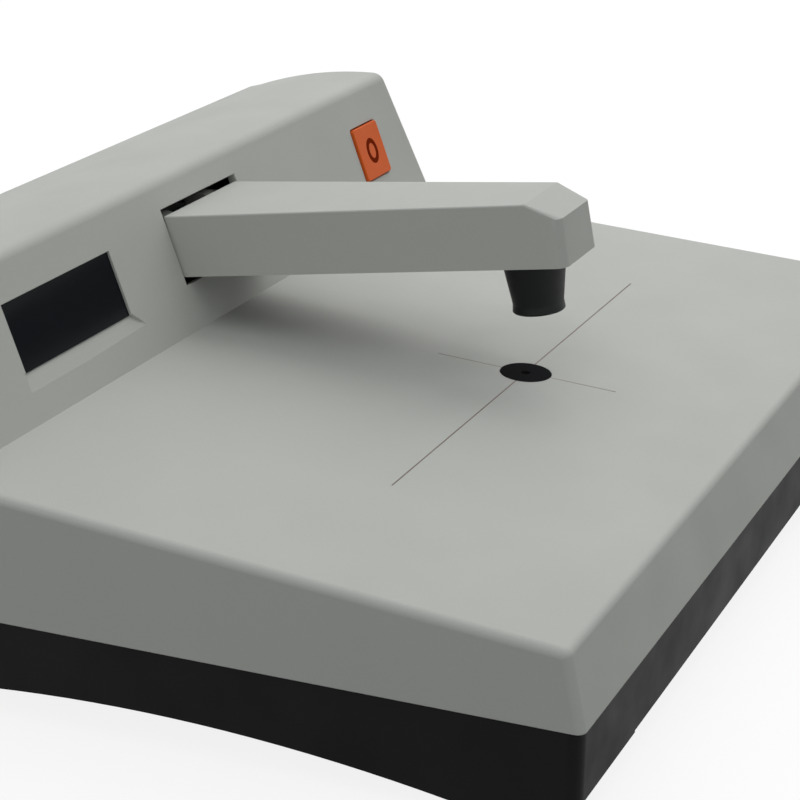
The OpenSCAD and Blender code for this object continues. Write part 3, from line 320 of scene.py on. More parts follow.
# ---------------------------------------------------------------- materials
class Nodes:
    """A material's node tree, with short calls for what the finishes use."""

    def __init__(self, name):
        self.material = bpy.data.materials.new(name)
        self.material.use_nodes = True
        self.tree = self.material.node_tree
        self.shader = self.tree.nodes["Principled BSDF"]
        self.place = self.add("ShaderNodeTexCoord").outputs["Object"]

    def add(self, kind, **sockets):
        node = self.tree.nodes.new(kind)
        for name, value in sockets.items():
            self.set(node, name.replace("_", " "), value)
        return node

    def set(self, node, name, value):
        socket = node.inputs[name]
        if isinstance(value, bpy.types.NodeSocket):
            self.tree.links.new(value, socket)
        else:
            socket.default_value = value

    def noise(self, scale, detail=3.0, roughness=0.55, stretch=(1, 1, 1)):
        """Noise with scale cells in a metre, drawn out along an axis by stretch."""
        mapping = self.add("ShaderNodeMapping", Vector=self.place, Scale=stretch)
        made = self.add(
            "ShaderNodeTexNoise", Vector=mapping.outputs[0], Scale=scale, Detail=detail, Roughness=roughness
        )
        return made.outputs["Fac"]

    def span(self, value, low, high, start=0.35, end=0.65):
        """value's range from start to end becomes low to high."""
        made = self.add("ShaderNodeMapRange", Value=value)
        for name, number in (("From Min", start), ("From Max", end), ("To Min", low), ("To Max", high)):
            made.inputs[name].default_value = number
        return made.outputs["Result"]

    def mix(self, share, first, second):
        made = self.tree.nodes.new("ShaderNodeMix")
        made.data_type = "RGBA"
        self.set(made, "Factor", share)
        for socket, value in ((made.inputs[6], first), (made.inputs[7], second)):
            if isinstance(value, bpy.types.NodeSocket):
                self.tree.links.new(value, socket)
            else:
                socket.default_value = value
        return made.outputs[2]

    def bump(self, height, depth, after=None):
        made = self.add("ShaderNodeBump", Height=height, Distance=depth, Strength=1.0)
        if after is not None:
            self.set(made, "Normal", after)
        return made.outputs["Normal"]


def grey(level, alpha=1.0):
    return (level, level, level, alpha)


def tinted(colour, factor):
    return tuple(min(1.0, c * factor) for c in colour[:3]) + (1.0,)


def moulded(
    name, colour, roughness=0.45, grain=1500, depth=0.02 * MM, mottle=0.03, gloss_spread=0.06, shine=0.3
):
    """A moulded plastic: slight mottle, a fine spark-eroded grain and uneven gloss."""
    n = Nodes(name)
    cloud = n.noise(MOTTLE_CELLS, detail=2)
    fine = n.noise(grain, detail=2, roughness=0.6)
    base = n.mix(n.span(cloud, 0, 1), tinted(colour, 1 - mottle), tinted(colour, 1 + mottle))
    share = n.span(fine, 0, SPECK_SHARE, start=0.45, end=0.75)
    speck = n.mix(share, base, tinted(colour, SPECK_LIFT))
    n.set(n.shader, "Base Color", speck)
    n.set(n.shader, "Specular IOR Level", shine)
    gloss = n.noise(GLOSS_CELLS, detail=3)
    n.set(n.shader, "Roughness", n.span(gloss, roughness - gloss_spread, roughness + gloss_spread))
    n.set(n.shader, "Normal", n.bump(fine, depth))
    return n.material


def metal(name, colour, roughness=0.3, lines=2500):
    """A bright or plated metal with drawn or ground lines and uneven gloss."""
    n = Nodes(name)
    drawn = n.noise(lines, detail=2, stretch=METAL_STRETCH)
    cloud = n.span(n.noise(METAL_CELLS, detail=2), 0, 1)
    n.set(n.shader, "Base Color", n.mix(cloud, tinted(colour, METAL_DARK), tinted(colour, METAL_LIGHT)))
    n.set(n.shader, "Metallic", 1.0)
    n.set(n.shader, "Roughness", n.span(drawn, roughness - METAL_SMOOTHER, roughness + METAL_ROUGHER))
    n.set(n.shader, "Normal", n.bump(drawn, METAL_DEPTH))
    return n.material


def glassy(name, colour):
    """Clear glass with slightly uneven gloss."""
    n = Nodes(name)
    smear = n.noise(SMEAR_CELLS, detail=2)
    n.set(n.shader, "Base Color", tinted(colour, 1.0))
    n.set(n.shader, "Roughness", n.span(smear, GLASS_ROUGHNESS * 0.6, GLASS_ROUGHNESS * 1.6))
    n.set(n.shader, "Transmission Weight", 1.0)
    n.set(n.shader, "IOR", GLASS_IOR)
    return n.material


def board_finish():
    """Green solder mask with traces that show as faint lighter lines."""
    n = Nodes("board_green")
    grid = n.add("ShaderNodeTexBrick", Vector=n.place, Scale=TRACE_CELLS)
    grid.inputs["Mortar Size"].default_value = TRACE_W
    trace = n.mix(grid.outputs["Fac"], MASK_DARK, MASK_LIGHT)
    n.set(n.shader, "Base Color", n.mix(n.span(n.noise(40), 0, 0.3), trace, MASK_GREEN))
    n.set(n.shader, "Roughness", n.span(n.noise(90), 0.25, 0.4))
    n.set(n.shader, "Normal", n.bump(grid.outputs["Fac"], 0.02 * MM))
    return n.material


CASE_GREY = (0.497, 0.503, 0.468)
FINISHES = {
    "case_grey": moulded("case_grey", CASE_GREY, roughness=0.55, depth=0.012 * MM, mottle=0.015, shine=0.15),
    "base_black": moulded(
        "base_black", (0.0052, 0.0052, 0.0053), roughness=0.55, grain=1300, depth=0.03 * MM, shine=0.1
    ),
    "arm_dark": moulded("arm_dark", (0.03, 0.031, 0.032), roughness=0.5),
    "window_smoke": moulded(
        "window_smoke", (0.0075, 0.009, 0.0115),
        roughness=0.16, depth=0.0005 * MM, gloss_spread=0.03, shine=0.06,
    ),
    "led_body": moulded("led_body", (0.02, 0.02, 0.022), roughness=0.35),
    "board_green": board_finish(),
    "ribbon_grey": moulded("ribbon_grey", (0.32, 0.33, 0.35), roughness=0.5),
    "key_orange": moulded("key_orange", (0.74, 0.13, 0.025), roughness=0.45, mottle=0.03, shine=0.1),
    "spring_steel": metal("spring_steel", (0.55, 0.56, 0.58), roughness=0.28),
    "switch_black": moulded("switch_black", (0.012, 0.013, 0.014), roughness=0.4),
    "rocker_black": moulded("rocker_black", (0.008, 0.008, 0.009), roughness=0.2, depth=0.002 * MM),
    "screw_steel": metal("screw_steel", (0.6, 0.61, 0.63), roughness=0.25),
    "probe_black": moulded(
        "probe_black", (0.009, 0.0097, 0.0102), roughness=0.42, depth=0.008 * MM, shine=0.2
    ),
    "lens_glass": glassy("lens_glass", (0.85, 0.9, 0.95)),
    "diode_ceramic": moulded("diode_ceramic", (0.72, 0.69, 0.6), roughness=0.35),
    "bracket_steel": metal("bracket_steel", (0.5, 0.52, 0.54), roughness=0.35, lines=900),
    "bush_brass": metal("bush_brass", (0.7, 0.47, 0.17), roughness=0.25),
    "pin_steel": metal("pin_steel", (0.66, 0.67, 0.69), roughness=0.18),
    "disc_black": moulded("disc_black", (0.018, 0.018, 0.019), roughness=0.6, depth=0.004 * MM, shine=0.0),
    "opal_white": moulded("opal_white", (0.8, 0.8, 0.76), roughness=0.25, depth=0.001 * MM),
    "lamp_glass": glassy("lamp_glass", (0.95, 0.96, 0.97)),
    "chip_black": moulded("chip_black", (0.012, 0.012, 0.013), roughness=0.55),
    "sink_aluminium": metal("sink_aluminium", (0.55, 0.56, 0.58), roughness=0.35, lines=1200),
    "pad_rubber": moulded("pad_rubber", (0.012, 0.012, 0.012), roughness=0.75, depth=0.03 * MM),
}
INK_RED = moulded("ink_red", (0.27, 0.195, 0.175), roughness=0.6, depth=0.001 * MM)
INK_BROWN = moulded("ink_brown", (0.2, 0.02, 0.005), roughness=0.6, depth=0.001 * MM, shine=0.0)
INK_WHITE = moulded("ink_white", (0.75, 0.75, 0.73), roughness=0.5, depth=0.001 * MM)


# ---------------------------------------------------------------- meshes
def make_object(name, mesh):
    made = bpy.data.objects.new(name, mesh)
    bpy.context.scene.collection.objects.link(made)
    return made


def solid(name, points, faces, place=Matrix()):
    """A closed mesh from points and faces, its normals turned outwards."""
    bm = bmesh.new()
    verts = [bm.verts.new(place @ Vector(p)) for p in points]
    for face in faces:
        bm.faces.new([verts[i] for i in face])
    bmesh.ops.recalc_face_normals(bm, faces=bm.faces)
    mesh = bpy.data.meshes.new(name)
    bm.to_mesh(mesh)
    bm.free()
    return make_object(name, mesh)


def skin(name, rings, place=Matrix(), closed=False):
    """Rings of equally many points, joined in order; the ends are capped unless the rings are closed."""
    count = len(rings[0])
    points = [p for ring in rings for p in ring]
    faces = []
    last = len(rings) if closed else len(rings) - 1
    for i in range(last):
        here, there = i * count, ((i + 1) % len(rings)) * count
        for k in range(count):
            n = (k + 1) % count
            faces.append((here + k, here + n, there + n, there + k))
    if not closed:
        faces.append(tuple(range(count)))
        faces.append(tuple(reversed(range(len(points) - count, len(points)))))
    return solid(name, points, faces, place)


def prism(name, outline, low, high, place=Matrix()):
    return skin(name, [[(x, y, z) for x, y in outline] for z in (low, high)], place)


def block(name, low, high, place=Matrix()):
    outline = [(low[0], low[1]), (high[0], low[1]), (high[0], high[1]), (low[0], high[1])]
    return prism(name, outline, low[2], high[2], place)


def hull(name, points, place=Matrix()):
    bm = bmesh.new()
    for p in points:
        bm.verts.new(place @ Vector(p))
    made = bmesh.ops.convex_hull(bm, input=bm.verts)
    inside = [v for v in made["geom_interior"] if isinstance(v, bmesh.types.BMVert)]
    bmesh.ops.delete(bm, geom=inside, context="VERTS")
    bmesh.ops.recalc_face_normals(bm, faces=bm.faces)
    mesh = bpy.data.meshes.new(name)
    bm.to_mesh(mesh)
    bm.free()
    return make_object(name, mesh)


def circle(radius, steps=64):
    turn = 2 * math.pi / steps
    return [(radius * math.cos(k * turn), radius * math.sin(k * turn)) for k in range(steps)]


def rounded(w, h, r, steps=8):
    """A rectangle's outline with round corners, about the origin."""
    points = []
    for k, (sx, sy) in enumerate(((1, 1), (-1, 1), (-1, -1), (1, -1))):
        for i in range(steps + 1):
            angle = 90 * (k + i / steps)
            points.append((sx * (w / 2 - r) + r * cos(angle), sy * (h / 2 - r) + r * sin(angle)))
    return points


def flared(name, outline, low, place=Matrix(), rim=RIM):
    """A pocket's cutter: straight from low to just under the surface at 0, then wider, for a chamfer."""
    cx = sum(p[0] for p in outline) / len(outline)
    cy = sum(p[1] for p in outline) / len(outline)

    def wider(grow):
        return [(x + math.copysign(grow, x - cx), y + math.copysign(grow, y - cy)) for x, y in outline]

    rings = [(low, 0), (-rim, 0), (OVER, rim + OVER)]
    return skin(name, [[(x, y, z) for x, y in wider(grow)] for z, grow in rings], place)


def apply_modifiers(piece):
    graph = bpy.context.evaluated_depsgraph_get()
    mesh = bpy.data.meshes.new_from_object(piece.evaluated_get(graph))
    old = piece.data
    piece.modifiers.clear()
    piece.data = mesh
    bpy.data.meshes.remove(old)


def combine(piece, others, operation):
    for other in others:
        modifier = piece.modifiers.new("join", "BOOLEAN")
        modifier.operation = operation
        modifier.solver = "EXACT"
        modifier.object = other
        apply_modifiers(piece)
        mesh = other.data
        bpy.data.objects.remove(other)
        bpy.data.meshes.remove(mesh)
    return piece


def cut(piece, *cutters):
    return combine(piece, cutters, "DIFFERENCE")


def join(piece, *others):
    return combine(piece, others, "UNION")


def keep_flat(piece):
    """Keeps flat faces flat under smooth shading."""
    modifier = piece.modifiers.new("flat faces stay flat", "WEIGHTED_NORMAL")
    modifier.keep_sharp = True
    modifier.weight = FLAT_WEIGHT


def smooth(piece, angle=SMOOTH_ANGLE):
    """Smooth shading that keeps flat faces flat and edges above angle sharp."""
    mesh = piece.data
    mesh.polygons.foreach_set("use_smooth", [True] * len(mesh.polygons))
    mesh.set_sharp_from_angle(angle=math.radians(angle))
    keep_flat(piece)
    return piece


def dress(piece, body, slot, *nodes, material=None):
    """Finishes a new piece: its material (the finish of its record slot, unless a material is given), its
    body, and the nodes it stands for, which it hides.
    """
    piece.data.materials.clear()
    piece.data.materials.append(material or FINISHES[slot])
    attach(piece, body)
    if nodes:
        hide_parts(*nodes)
    return piece


# ---------------------------------------------------------------- upper case
def arc(centre, radius, first, last, steps):
    """Places on an arc about centre: each gives its point a margin m inside."""
    angles = [first + (last - first) * k / steps for k in range(steps + 1)]
    return [
        lambda m, a=a: (centre[0] + (radius - m) * cos(a), centre[1] + (radius - m) * sin(a)) for a in angles
    ]


def front_edge_y(m):
    rise = (table_z(0, m) - SEAM_Z) * tan(FRONT_DRAFT) + m / cos(FRONT_DRAFT)
    return rise / (1 - tan(FRONT_DRAFT) * tan(TABLE_TILT))


def table_body(m, back, name):
    """The wedge under the film table, a margin m inside the skin."""
    low = SEAM_Z - (OVER if m else 0)
    r = max(EDGE_R - m, LEAST_R)
    y = front_edge_y(m + r)
    places = [lambda k: (front_y(low, m + k), low)]
    places += arc((y, table_z(y, m + r)), r, 180 - FRONT_DRAFT, 90 + TABLE_TILT, EDGE_STEPS)
    places += [lambda k: (back, table_z(back, m + k)), lambda k: (back, low)]
    return drafted(name, places, r * TABLE_END_SHARE, m)


def console_body(m, name):
    """The console, a margin m inside the skin."""
    low = SEAM_Z - (OVER if m else 0)
    ridge, rear = max(RIDGE_R - m, LEAST_RIDGE_R), max(REAR_R - m, LEAST_REAR_R)
    d, dr = m + ridge, m + rear
    ridge_y = face_y(crown_z(CROWN_Y, d), d)
    back_y = rear_y(crown_z(rear_y(SEAM_Z + CROWN_H, dr), dr), dr)
    places = [lambda k: (face_y(low, m + k), low)]
    front = (ridge_y, crown_z(ridge_y, d))
    back = (back_y, crown_z(back_y, dr))
    places += arc(front, ridge, 180 - FACE_LEAN, 90 - crown_slope(ridge_y), RIDGE_STEPS)
    for i in range(1, CROWN_STEPS):
        y = ridge_y + (back_y - ridge_y) * i / CROWN_STEPS
        places.append(lambda k, y=y: (y, crown_z(y, m + k)))
    places += arc(back, rear, 90 - crown_slope(back_y), REAR_DRAFT, RIDGE_STEPS)
    places += [lambda k: (rear_y(low, m + k), low)]
    return drafted(name, places, max(END_R - m, LEAST_R), m)


def drafted(name, places, r, m):
    """A body from side to side, a margin m inside the side walls, with its end edges rounded by r."""
    rings = []
    for side in (-1, 1):
        for k in range(END_STEPS, -1, -1) if side < 0 else range(END_STEPS + 1):
            angle = 90 * k / END_STEPS
            ring = []
            for place in places:
                y, z = place(r * (1 - cos(angle)))
                ring.append((side * side_x(z, m + r * (1 - sin(angle))), y, z))
            rings.append(ring)
    return skin(name, rings, ORIGIN)


def sill_cutter():
    """The facet below the display; its planes run on above the face, so that they cut it cleanly."""
    x0, x1 = WINDOW_X - WINDOW_W / 2, WINDOW_X + WINDOW_W / 2
    top = WINDOW_S - WINDOW_H / 2
    low = top - SILL_H
    high = top + SILL_LIFT
    rim = [
        (x0 - SILL_EDGE, high), (x0 - SILL_EDGE, low),
        (x1 + SILL_FLARE, low + SILL_RISE), (x1 + SILL_EDGE, high),
    ]
    deep = [(x0, high), (x0, high), (x1, high), (x1, high)]
    points = [(2 * x - dx, 2 * s - ds, SILL_DEPTH) for (x, s), (dx, ds) in zip(rim, deep)]
    points += [(x, s, -SILL_DEPTH) for x, s in (deep[0], deep[2])]
    return hull("sill", points, ON_FACE)


def rect(x0, x1, y0, y1):
    return [(x0, y0), (x1, y0), (x1, y1), (x0, y1)]


def upper_case():
    shell = join(table_body(0, TABLE_BACK, "upper_case"), console_body(0, "console"))
    cut(shell, table_body(WALL, INSIDE_BACK, "inside"), console_body(WALL, "inside_console"))
    bevelled_seam(shell)
    window = rect(
        WINDOW_X - WINDOW_W / 2, WINDOW_X + WINDOW_W / 2, WINDOW_S - WINDOW_H / 2, WINDOW_S + WINDOW_H / 2
    )
    slot = rect(ARM_ROOT_X[0] - SLOT_GAP, ARM_ROOT_X[1] + SLOT_GAP, *SLOT_S)
    hole = KEY_W + 2 * KEY_GAP
    key_place = ON_FACE @ Matrix.Translation((KEY_X, KEY_S, 0))
    deep = -3 * WALL
    cut(
        shell,
        flared("slot", slot, deep, ON_FACE),
        flared("window", window, deep, ON_FACE, rim=WINDOW_RIM),
        sill_cutter(),
        flared("key_hole", rounded(hole, hole, KEY_R + KEY_GAP), deep, key_place),
        flared("disc_seat", circle(DISC_D / 2 + DISC_PLAY, DISC_STEPS), -DISC_T, ON_TABLE, rim=DISC_RIM),
        prism("disc_hole", circle(DISC_D / 2 - DISC_LEDGE), -2 * WALL, OVER, ON_TABLE),
        block("line", (-LINE_X, -LINE_W / 2, -LINE_DEPTH), (LINE_X, LINE_W / 2, OVER), ON_TABLE),
        block("line", (-LINE_W / 2, -LINE_Y, -LINE_DEPTH), (LINE_W / 2, LINE_Y, OVER), ON_TABLE),
    )
    smooth(shell)
    crease_sill(shell)
    return dress(shell, "root", "case_grey", "upper_shell")


def crease_sill(shell):
    """Keeps the edges round the sloping sill crisp, though it leans little from the face."""
    mesh = shell.data
    to_face = ON_FACE.inverted()
    low = WINDOW_S - WINDOW_H / 2
    around, above, off = 1 * MM, 0.2 * MM, 0.1 * MM
    for edge in mesh.edges:
        a, b = (to_face @ mesh.vertices[i].co for i in edge.vertices)
        inside = all(
            abs(p.x - WINDOW_X) < WINDOW_W / 2 + SILL_FLARE + around
            and low - SILL_H - around < p.y < low + above
            and -SILL_DEPTH - off < p.z < off
            for p in (a, b)
        )
        if inside:
            edge.use_edge_sharp = True


def bevelled_seam(shell):
    """Rounds the seam's sharp outer edge a little."""

    def outside(face):
        return abs(face.normal.z) < WALL_NORMAL and face.normal.dot(face.calc_center_median()) > 0

    bm = bmesh.new()
    bm.from_mesh(shell.data)
    low = [e for e in bm.edges if all(abs(v.co.z - SEAM_Z) < TOUCH for v in e.verts)]
    outer = [e for e in low if any(outside(f) for f in e.link_faces)]
    bmesh.ops.bevel(bm, geom=outer, offset=SEAM_BEVEL, segments=2, affect="EDGES", profile=0.5)
    bm.to_mesh(shell.data)
    bm.free()


def cross_lines():
    """Ink in the table's two cross lines; it thins towards their ends."""
    sunk = -LINE_DEPTH + INK_FILL
    wide, thin = LINE_W * INK_WIDE, LINE_W * INK_THIN
    parts = []
    for along, reach in ((0, LINE_X), (1, LINE_Y)):
        for way in (-1, 1):
            start, end = DISC_D / 2 + INK_OFF_DISC, reach - INK_OFF_END
            outline = []
            for t, w in ((start, wide), (end, thin), (end, -thin), (start, -wide)):
                outline.append((way * t, w) if along == 0 else (w, way * t))
            parts.append(prism("cross_line", outline, -LINE_DEPTH, sunk, ON_TABLE))
    lines = parts[0]
    for other in parts[1:]:
        add_mesh(lines, other)
    lines.name = "cross_lines"
    return dress(lines, "root", "case_grey", material=INK_RED)


def add_mesh(piece, other):
    """Adds other's mesh to piece's, apart from it."""
    bm = bmesh.new()
    bm.from_mesh(piece.data)
    bm.from_mesh(other.data)
    bm.to_mesh(piece.data)
    bm.free()
    mesh = other.data
    bpy.data.objects.remove(other)
    bpy.data.meshes.remove(mesh)


# ---------------------------------------------------------------- key, screws and marks
def stacked(name, profile, place=Matrix(), steps=48):
    """Circles of (radius, height), one on another, closed at both ends."""
    rings = [[(x, y, z) for x, y in circle(r, steps)] for r, z in profile]
    return skin(name, rings, place)


def oval_mark(name, width, height, stroke, place, steps=40):
    """A printed oval line, a hair thick, about the local origin."""
    rings = []
    for k in range(steps):
        angle = 360 * k / steps
        ring = []
        for way, z in ((-1, -INK_T), (1, -INK_T), (1, INK_T), (-1, INK_T)):
            grow = way * stroke / 2
            ring.append(((width / 2 + grow) * cos(angle), (height / 2 + grow) * sin(angle), z))
        rings.append(ring)
    return skin(name, rings, place, closed=True)


def zero_key():
    """The key: a softly crowned cap with a hollow skirt, a stem, and a plain 0 printed on it."""
    place = ON_FACE @ Matrix.Translation((KEY_X, KEY_S, 0))
    rings = []
    for inset, z in [(0, KEY_LOW)] + [(inset, KEY_PROUD + drop) for inset, drop in KEY_CROWN]:
        side = KEY_W - 2 * inset
        rings.append([(x, y, z) for x, y in rounded(side, side, max(KEY_R - inset, KEY_LEAST_R))])
    cap = skin("zero_key_cap", rings, place)
    hollow = KEY_W - 2 * KEY_WALL
    cut(cap, prism("hollow", rounded(hollow, hollow, KEY_R / 2), KEY_LOW - OVER, 0, place))
    join(cap, stacked("stem", [(KEY_STEM_R, KEY_STEM_LOW), (KEY_STEM_R, KEY_STEM_TOP)], place))
    dress(smooth(cap, KEY_SMOOTH_ANGLE), "zero_key", "key_orange", "zero_key")
    on_top = place @ Matrix.Translation((0, 0, KEY_PROUD))
    mark = oval_mark("zero_mark", MARK_W, MARK_H, MARK_STROKE, on_top)
    dress(smooth(mark), "zero_key", "key_orange", material=INK_BROWN)


def key_coil():
    """The key's return spring: a coil from the switch's top to just under the cap."""
    place = ON_FACE @ Matrix.Translation((KEY_X, KEY_S, 0))
    low, high = KEY_SWITCH_TOP + COIL_GAP + COIL_WIRE_R, -COIL_GAP - COIL_WIRE_R
    rings = []
    for k in range(COIL_TURNS * COIL_STEPS + 1):
        turn = 360 * k / COIL_STEPS
        z = low + (high - low) * k / (COIL_TURNS * COIL_STEPS)
        ring = []
        for i in range(COIL_SIDES):
            angle = 360 * i / COIL_SIDES
            r = COIL_R + COIL_WIRE_R * cos(angle)
            ring.append((r * cos(turn), r * sin(turn), z + COIL_WIRE_R * sin(angle)))
        rings.append(ring)
    coil = skin("key_coil", rings, place)
    coil.data.polygons.foreach_set("use_smooth", [True] * len(coil.data.polygons))
    dress(coil, "root", "spring_steel", "key_spring")
    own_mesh(coil)


def screw(name, place, d, length, head_d, head_h):
    """A pan-head screw with a cross recess; its head sits on the local origin, its shank is down -Z."""
    profile = [(d * POINT_R, -length), (d / 2, -length + d * POINT_H), (d / 2, 0)]
    profile += [(head_d * r, head_h * h) for r, h in PAN_HEAD]
    made = stacked(name, profile, place, SCREW_STEPS)
    arm, slit = head_d * RECESS_REACH, head_d * RECESS_HALF_W
    for x, y in ((arm, slit), (slit, arm)):
        cut(made, block("recess", (-x, -y, head_h * RECESS_FLOOR), (x, y, head_h + OVER), place))
    return made


def case_screws():
    parts = []
    for side in (-1, 1):
        for y in SCREW_YS:
            x = side * (CASE_W / 2 - PAD_SIDE)
            place = ORIGIN @ Matrix.Translation((x, y, FLOOR_Z)) @ Matrix.Rotation(math.pi, 4, "X")
            made = screw("case_screw_heads", place, SCREW_D, SCREW_LENGTH, SCREW_HEAD_D, SCREW_HEAD_H)
            parts.append(made)
    for other in parts[1:]:
        add_mesh(parts[0], other)
    dress(smooth(parts[0]), "root", "screw_steel", "case_screws")


def rocker_marks():
    """A plain bar and ring on the rocker's two pads."""
    rocker = (
        AT_REAR
        @ Matrix.Translation((SWITCH_X, ROCKER_PIVOT, 0))
        @ Matrix.Rotation(math.radians(-ROCKER_TILT), 4, "Z")
    )
    left, right = (
        rocker
        @ Matrix.Translation((side * ROCKER_PAD_X, ROCKER_PAD_OUT, 0))
        @ Matrix.Rotation(side * ROCKER_SLOPE, 4, "Z")
        @ Matrix.Rotation(-math.pi / 2, 4, "X")
        for side in (-1, 1)
    )
    ring = oval_mark("rocker_marks", RING_W, RING_H, RING_STROKE, left)
    bar = block("bar", (-BAR_HALF_W, -BAR_HALF_H, -INK_T), (BAR_HALF_W, BAR_HALF_H, INK_T), right)
    add_mesh(ring, bar)
    dress(ring, "power_rocker", "rocker_black", material=INK_WHITE)


# ---------------------------------------------------------------- what the frame's own pieces get
# Rounding of the edges of the frame's own pieces, where it shows
FINE_EDGE = 0.12 * MM
EDGES = {
    "arm_housing": 0.8 * MM,
    "lower_base": 0.8 * MM,
    "rubber_feet": 0.6 * MM,
    "power_switch": 0.4 * MM,
    "power_rocker": 0.4 * MM,
    "power_jack": 0.4 * MM,
    "arm_cover": 0.3 * MM,
    "display_window": 0.2 * MM,
}


def finish_node(node, slot):
    """A frame piece keeps its mesh; modifiers join its facets and smooth its round faces."""
    piece = frame["nodes"][node]
    piece.data.materials.clear()
    piece.data.materials.append(FINISHES[slot])
    weld = piece.modifiers.new("weld", "WELD")
    weld.merge_threshold = WELD_GAP
    wire = node.endswith("_spring")
    if not wire:
        edges = piece.modifiers.new("edges", "BEVEL")
        edges.width = EDGES.get(node, FINE_EDGE)
        edges.segments = BEVEL_SEGMENTS
        edges.limit_method = "ANGLE"
        edges.angle_limit = math.radians(BEVEL_ANGLE)
    shade = piece.modifiers.new("smooth by angle", "NODES")
    shade.node_group = smooth_group(WIRE_ANGLE if wire else SMOOTH_ANGLE)
    keep_flat(piece)


def smooth_group(angle):
    """Geometry nodes that smooth every edge below angle."""
    name = f"smooth_below_{angle}"
    if name in bpy.data.node_groups:
        return bpy.data.node_groups[name]
    group = bpy.data.node_groups.new(name, "GeometryNodeTree")
    group.interface.new_socket("Geometry", in_out="INPUT", socket_type="NodeSocketGeometry")
    group.interface.new_socket("Geometry", in_out="OUTPUT", socket_type="NodeSocketGeometry")
    nodes, links = group.nodes, group.links
    start, end = nodes.new("NodeGroupInput"), nodes.new("NodeGroupOutput")
    faces = nodes.new("GeometryNodeSetShadeSmooth")
    edges = nodes.new("GeometryNodeSetShadeSmooth")
    edges.domain = "EDGE"
    edge_angle = nodes.new("GeometryNodeInputMeshEdgeAngle")
    below = nodes.new("FunctionNodeCompare")
    below.operation = "LESS_EQUAL"
    below.inputs["B"].default_value = math.radians(angle)
    links.new(edge_angle.outputs["Unsigned Angle"], below.inputs["A"])
    links.new(start.outputs[0], faces.inputs["Geometry"])
    links.new(faces.outputs["Geometry"], edges.inputs["Geometry"])
    links.new(below.outputs["Result"], edges.inputs["Shade Smooth"])
    links.new(edges.outputs["Geometry"], end.inputs[0])
    return group


def finish_frame():
    for part in frame["record"]["subparts"]:
        finish_node(part["node"], part["material_slot"])


# ---------------------------------------------------------------- stage
def camera():
    data = bpy.data.cameras.new("camera")
    data.lens = CAMERA_LENS
    data.sensor_width = SENSOR
    data.clip_start, data.clip_end = CAMERA_CLIP
    made = bpy.data.objects.new("camera", data)
    bpy.context.scene.collection.objects.link(made)
    turn = (
        Matrix.Rotation(math.radians(-CAMERA_HEADING), 4, "Z")
        @ Matrix.Rotation(math.radians(90 - CAMERA_DIP), 4, "X")
        @ Matrix.Rotation(math.radians(CAMERA_ROLL), 4, "Z")
    )
    made.matrix_world = Matrix.Translation(CAMERA_PLACE) @ turn
    bpy.context.scene.camera = made


def lamp(name, place, size, power):
    data = bpy.data.lights.new(name, "AREA")
    data.shape = "RECTANGLE"
    data.size, data.size_y = size
    data.energy = power
    made = bpy.data.objects.new(name, data)
    bpy.context.scene.collection.objects.link(made)
    made.location = place
    made.rotation_euler = (Vector(LAMP_TARGET) - Vector(place)).to_track_quat("-Z", "Y").to_euler()


def maths(tree, operation, first, second):
    """A maths node's result, from numbers or other nodes' results."""
    node = tree.nodes.new("ShaderNodeMath")
    node.operation = operation
    for socket, value in zip(node.inputs, (first, second)):
        if isinstance(value, bpy.types.NodeSocket):
            tree.links.new(value, socket)
        else:
            socket.default_value = value
    return node.outputs[0]


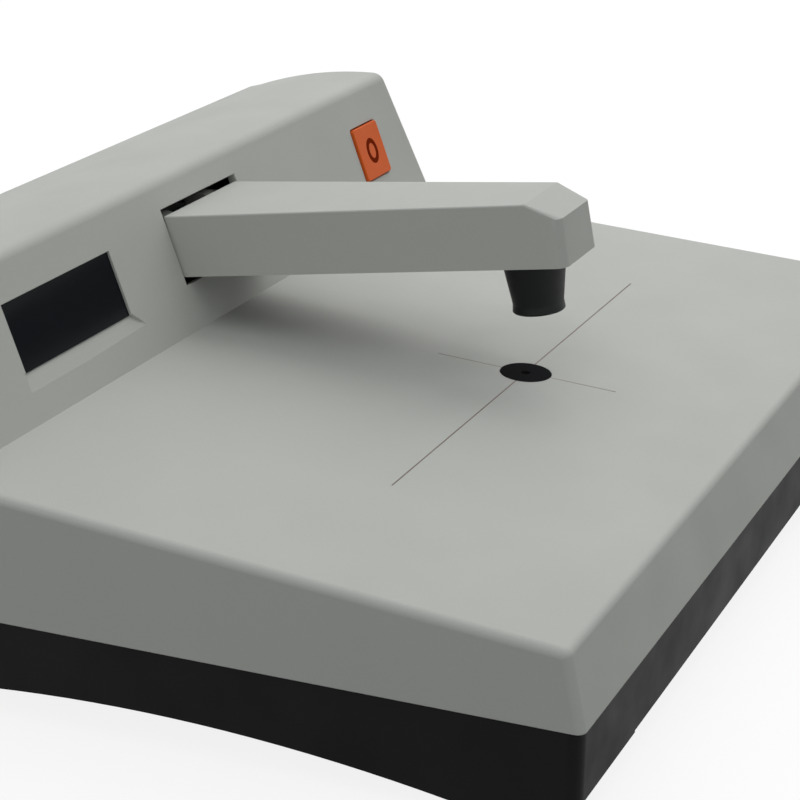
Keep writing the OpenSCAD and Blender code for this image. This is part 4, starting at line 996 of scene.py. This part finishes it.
def world():
    """White for the camera, reflections and glass; for the light a soft surround, brighter upwards."""
    made = bpy.data.worlds.new("surround")
    bpy.context.scene.world = made
    made.use_nodes = True
    tree = made.node_tree
    tree.nodes.clear()
    rays = tree.nodes.new("ShaderNodeLightPath").outputs
    seen = maths(tree, "MAXIMUM", rays["Is Camera Ray"], rays["Is Glossy Ray"])
    seen_or_through = maths(tree, "MAXIMUM", seen, rays["Is Transmission Ray"])
    way = tree.nodes.new("ShaderNodeTexCoord")
    split = tree.nodes.new("ShaderNodeSeparateXYZ")
    tree.links.new(way.outputs["Generated"], split.inputs[0])
    above = maths(tree, "MAXIMUM", split.outputs["Z"], 0.0)
    rise = maths(tree, "POWER", above, SKY_POWER)
    rise.node.use_clamp = True
    strength = tree.nodes.new("ShaderNodeMapRange")
    strength.inputs["To Min"].default_value = HORIZON_LIGHT
    strength.inputs["To Max"].default_value = ZENITH_LIGHT
    tree.links.new(rise, strength.inputs["Value"])
    soft = tree.nodes.new("ShaderNodeBackground")
    soft.inputs["Color"].default_value = SKY_COLOUR
    tree.links.new(strength.outputs["Result"], soft.inputs["Strength"])
    white = tree.nodes.new("ShaderNodeBackground")
    white.inputs["Color"].default_value = grey(1.0)
    mix = tree.nodes.new("ShaderNodeMixShader")
    out = tree.nodes.new("ShaderNodeOutputWorld")
    tree.links.new(seen_or_through, mix.inputs[0])
    tree.links.new(soft.outputs[0], mix.inputs[1])
    tree.links.new(white.outputs[0], mix.inputs[2])
    tree.links.new(mix.outputs[0], out.inputs["Surface"])


def floor():
    """A floor that looks nearly white and still takes a faint shadow."""
    corners = [(x, y, FLOOR_DROP) for x, y in rect(-FLOOR_HALF, FLOOR_HALF, -FLOOR_HALF, FLOOR_HALF)]
    made = solid("floor", corners, [(0, 1, 2, 3)])
    material = bpy.data.materials.new("floor")
    material.use_nodes = True
    tree = material.node_tree
    shader = tree.nodes["Principled BSDF"]
    shader.inputs["Base Color"].default_value = grey(FLOOR_GREY)
    shader.inputs["Roughness"].default_value = FLOOR_ROUGHNESS
    rays = tree.nodes.new("ShaderNodeLightPath").outputs
    seen = maths(tree, "MAXIMUM", rays["Is Camera Ray"], rays["Is Glossy Ray"])
    shader.inputs["Emission Color"].default_value = grey(1.0)
    tree.links.new(maths(tree, "MULTIPLY", seen, FLOOR_SHINE), shader.inputs["Emission Strength"])
    made.data.materials.append(material)


def lights():
    for name, place, size, power in LAMPS:
        lamp(name, place, size, power)


# ---------------------------------------------------------------- all of it
camera()
world()
floor()
lights()
finish_frame()
upper_case()
cross_lines()
zero_key()
key_coil()
case_screws()
rocker_marks()

bpy.context.scene.view_settings.view_transform = "Standard"
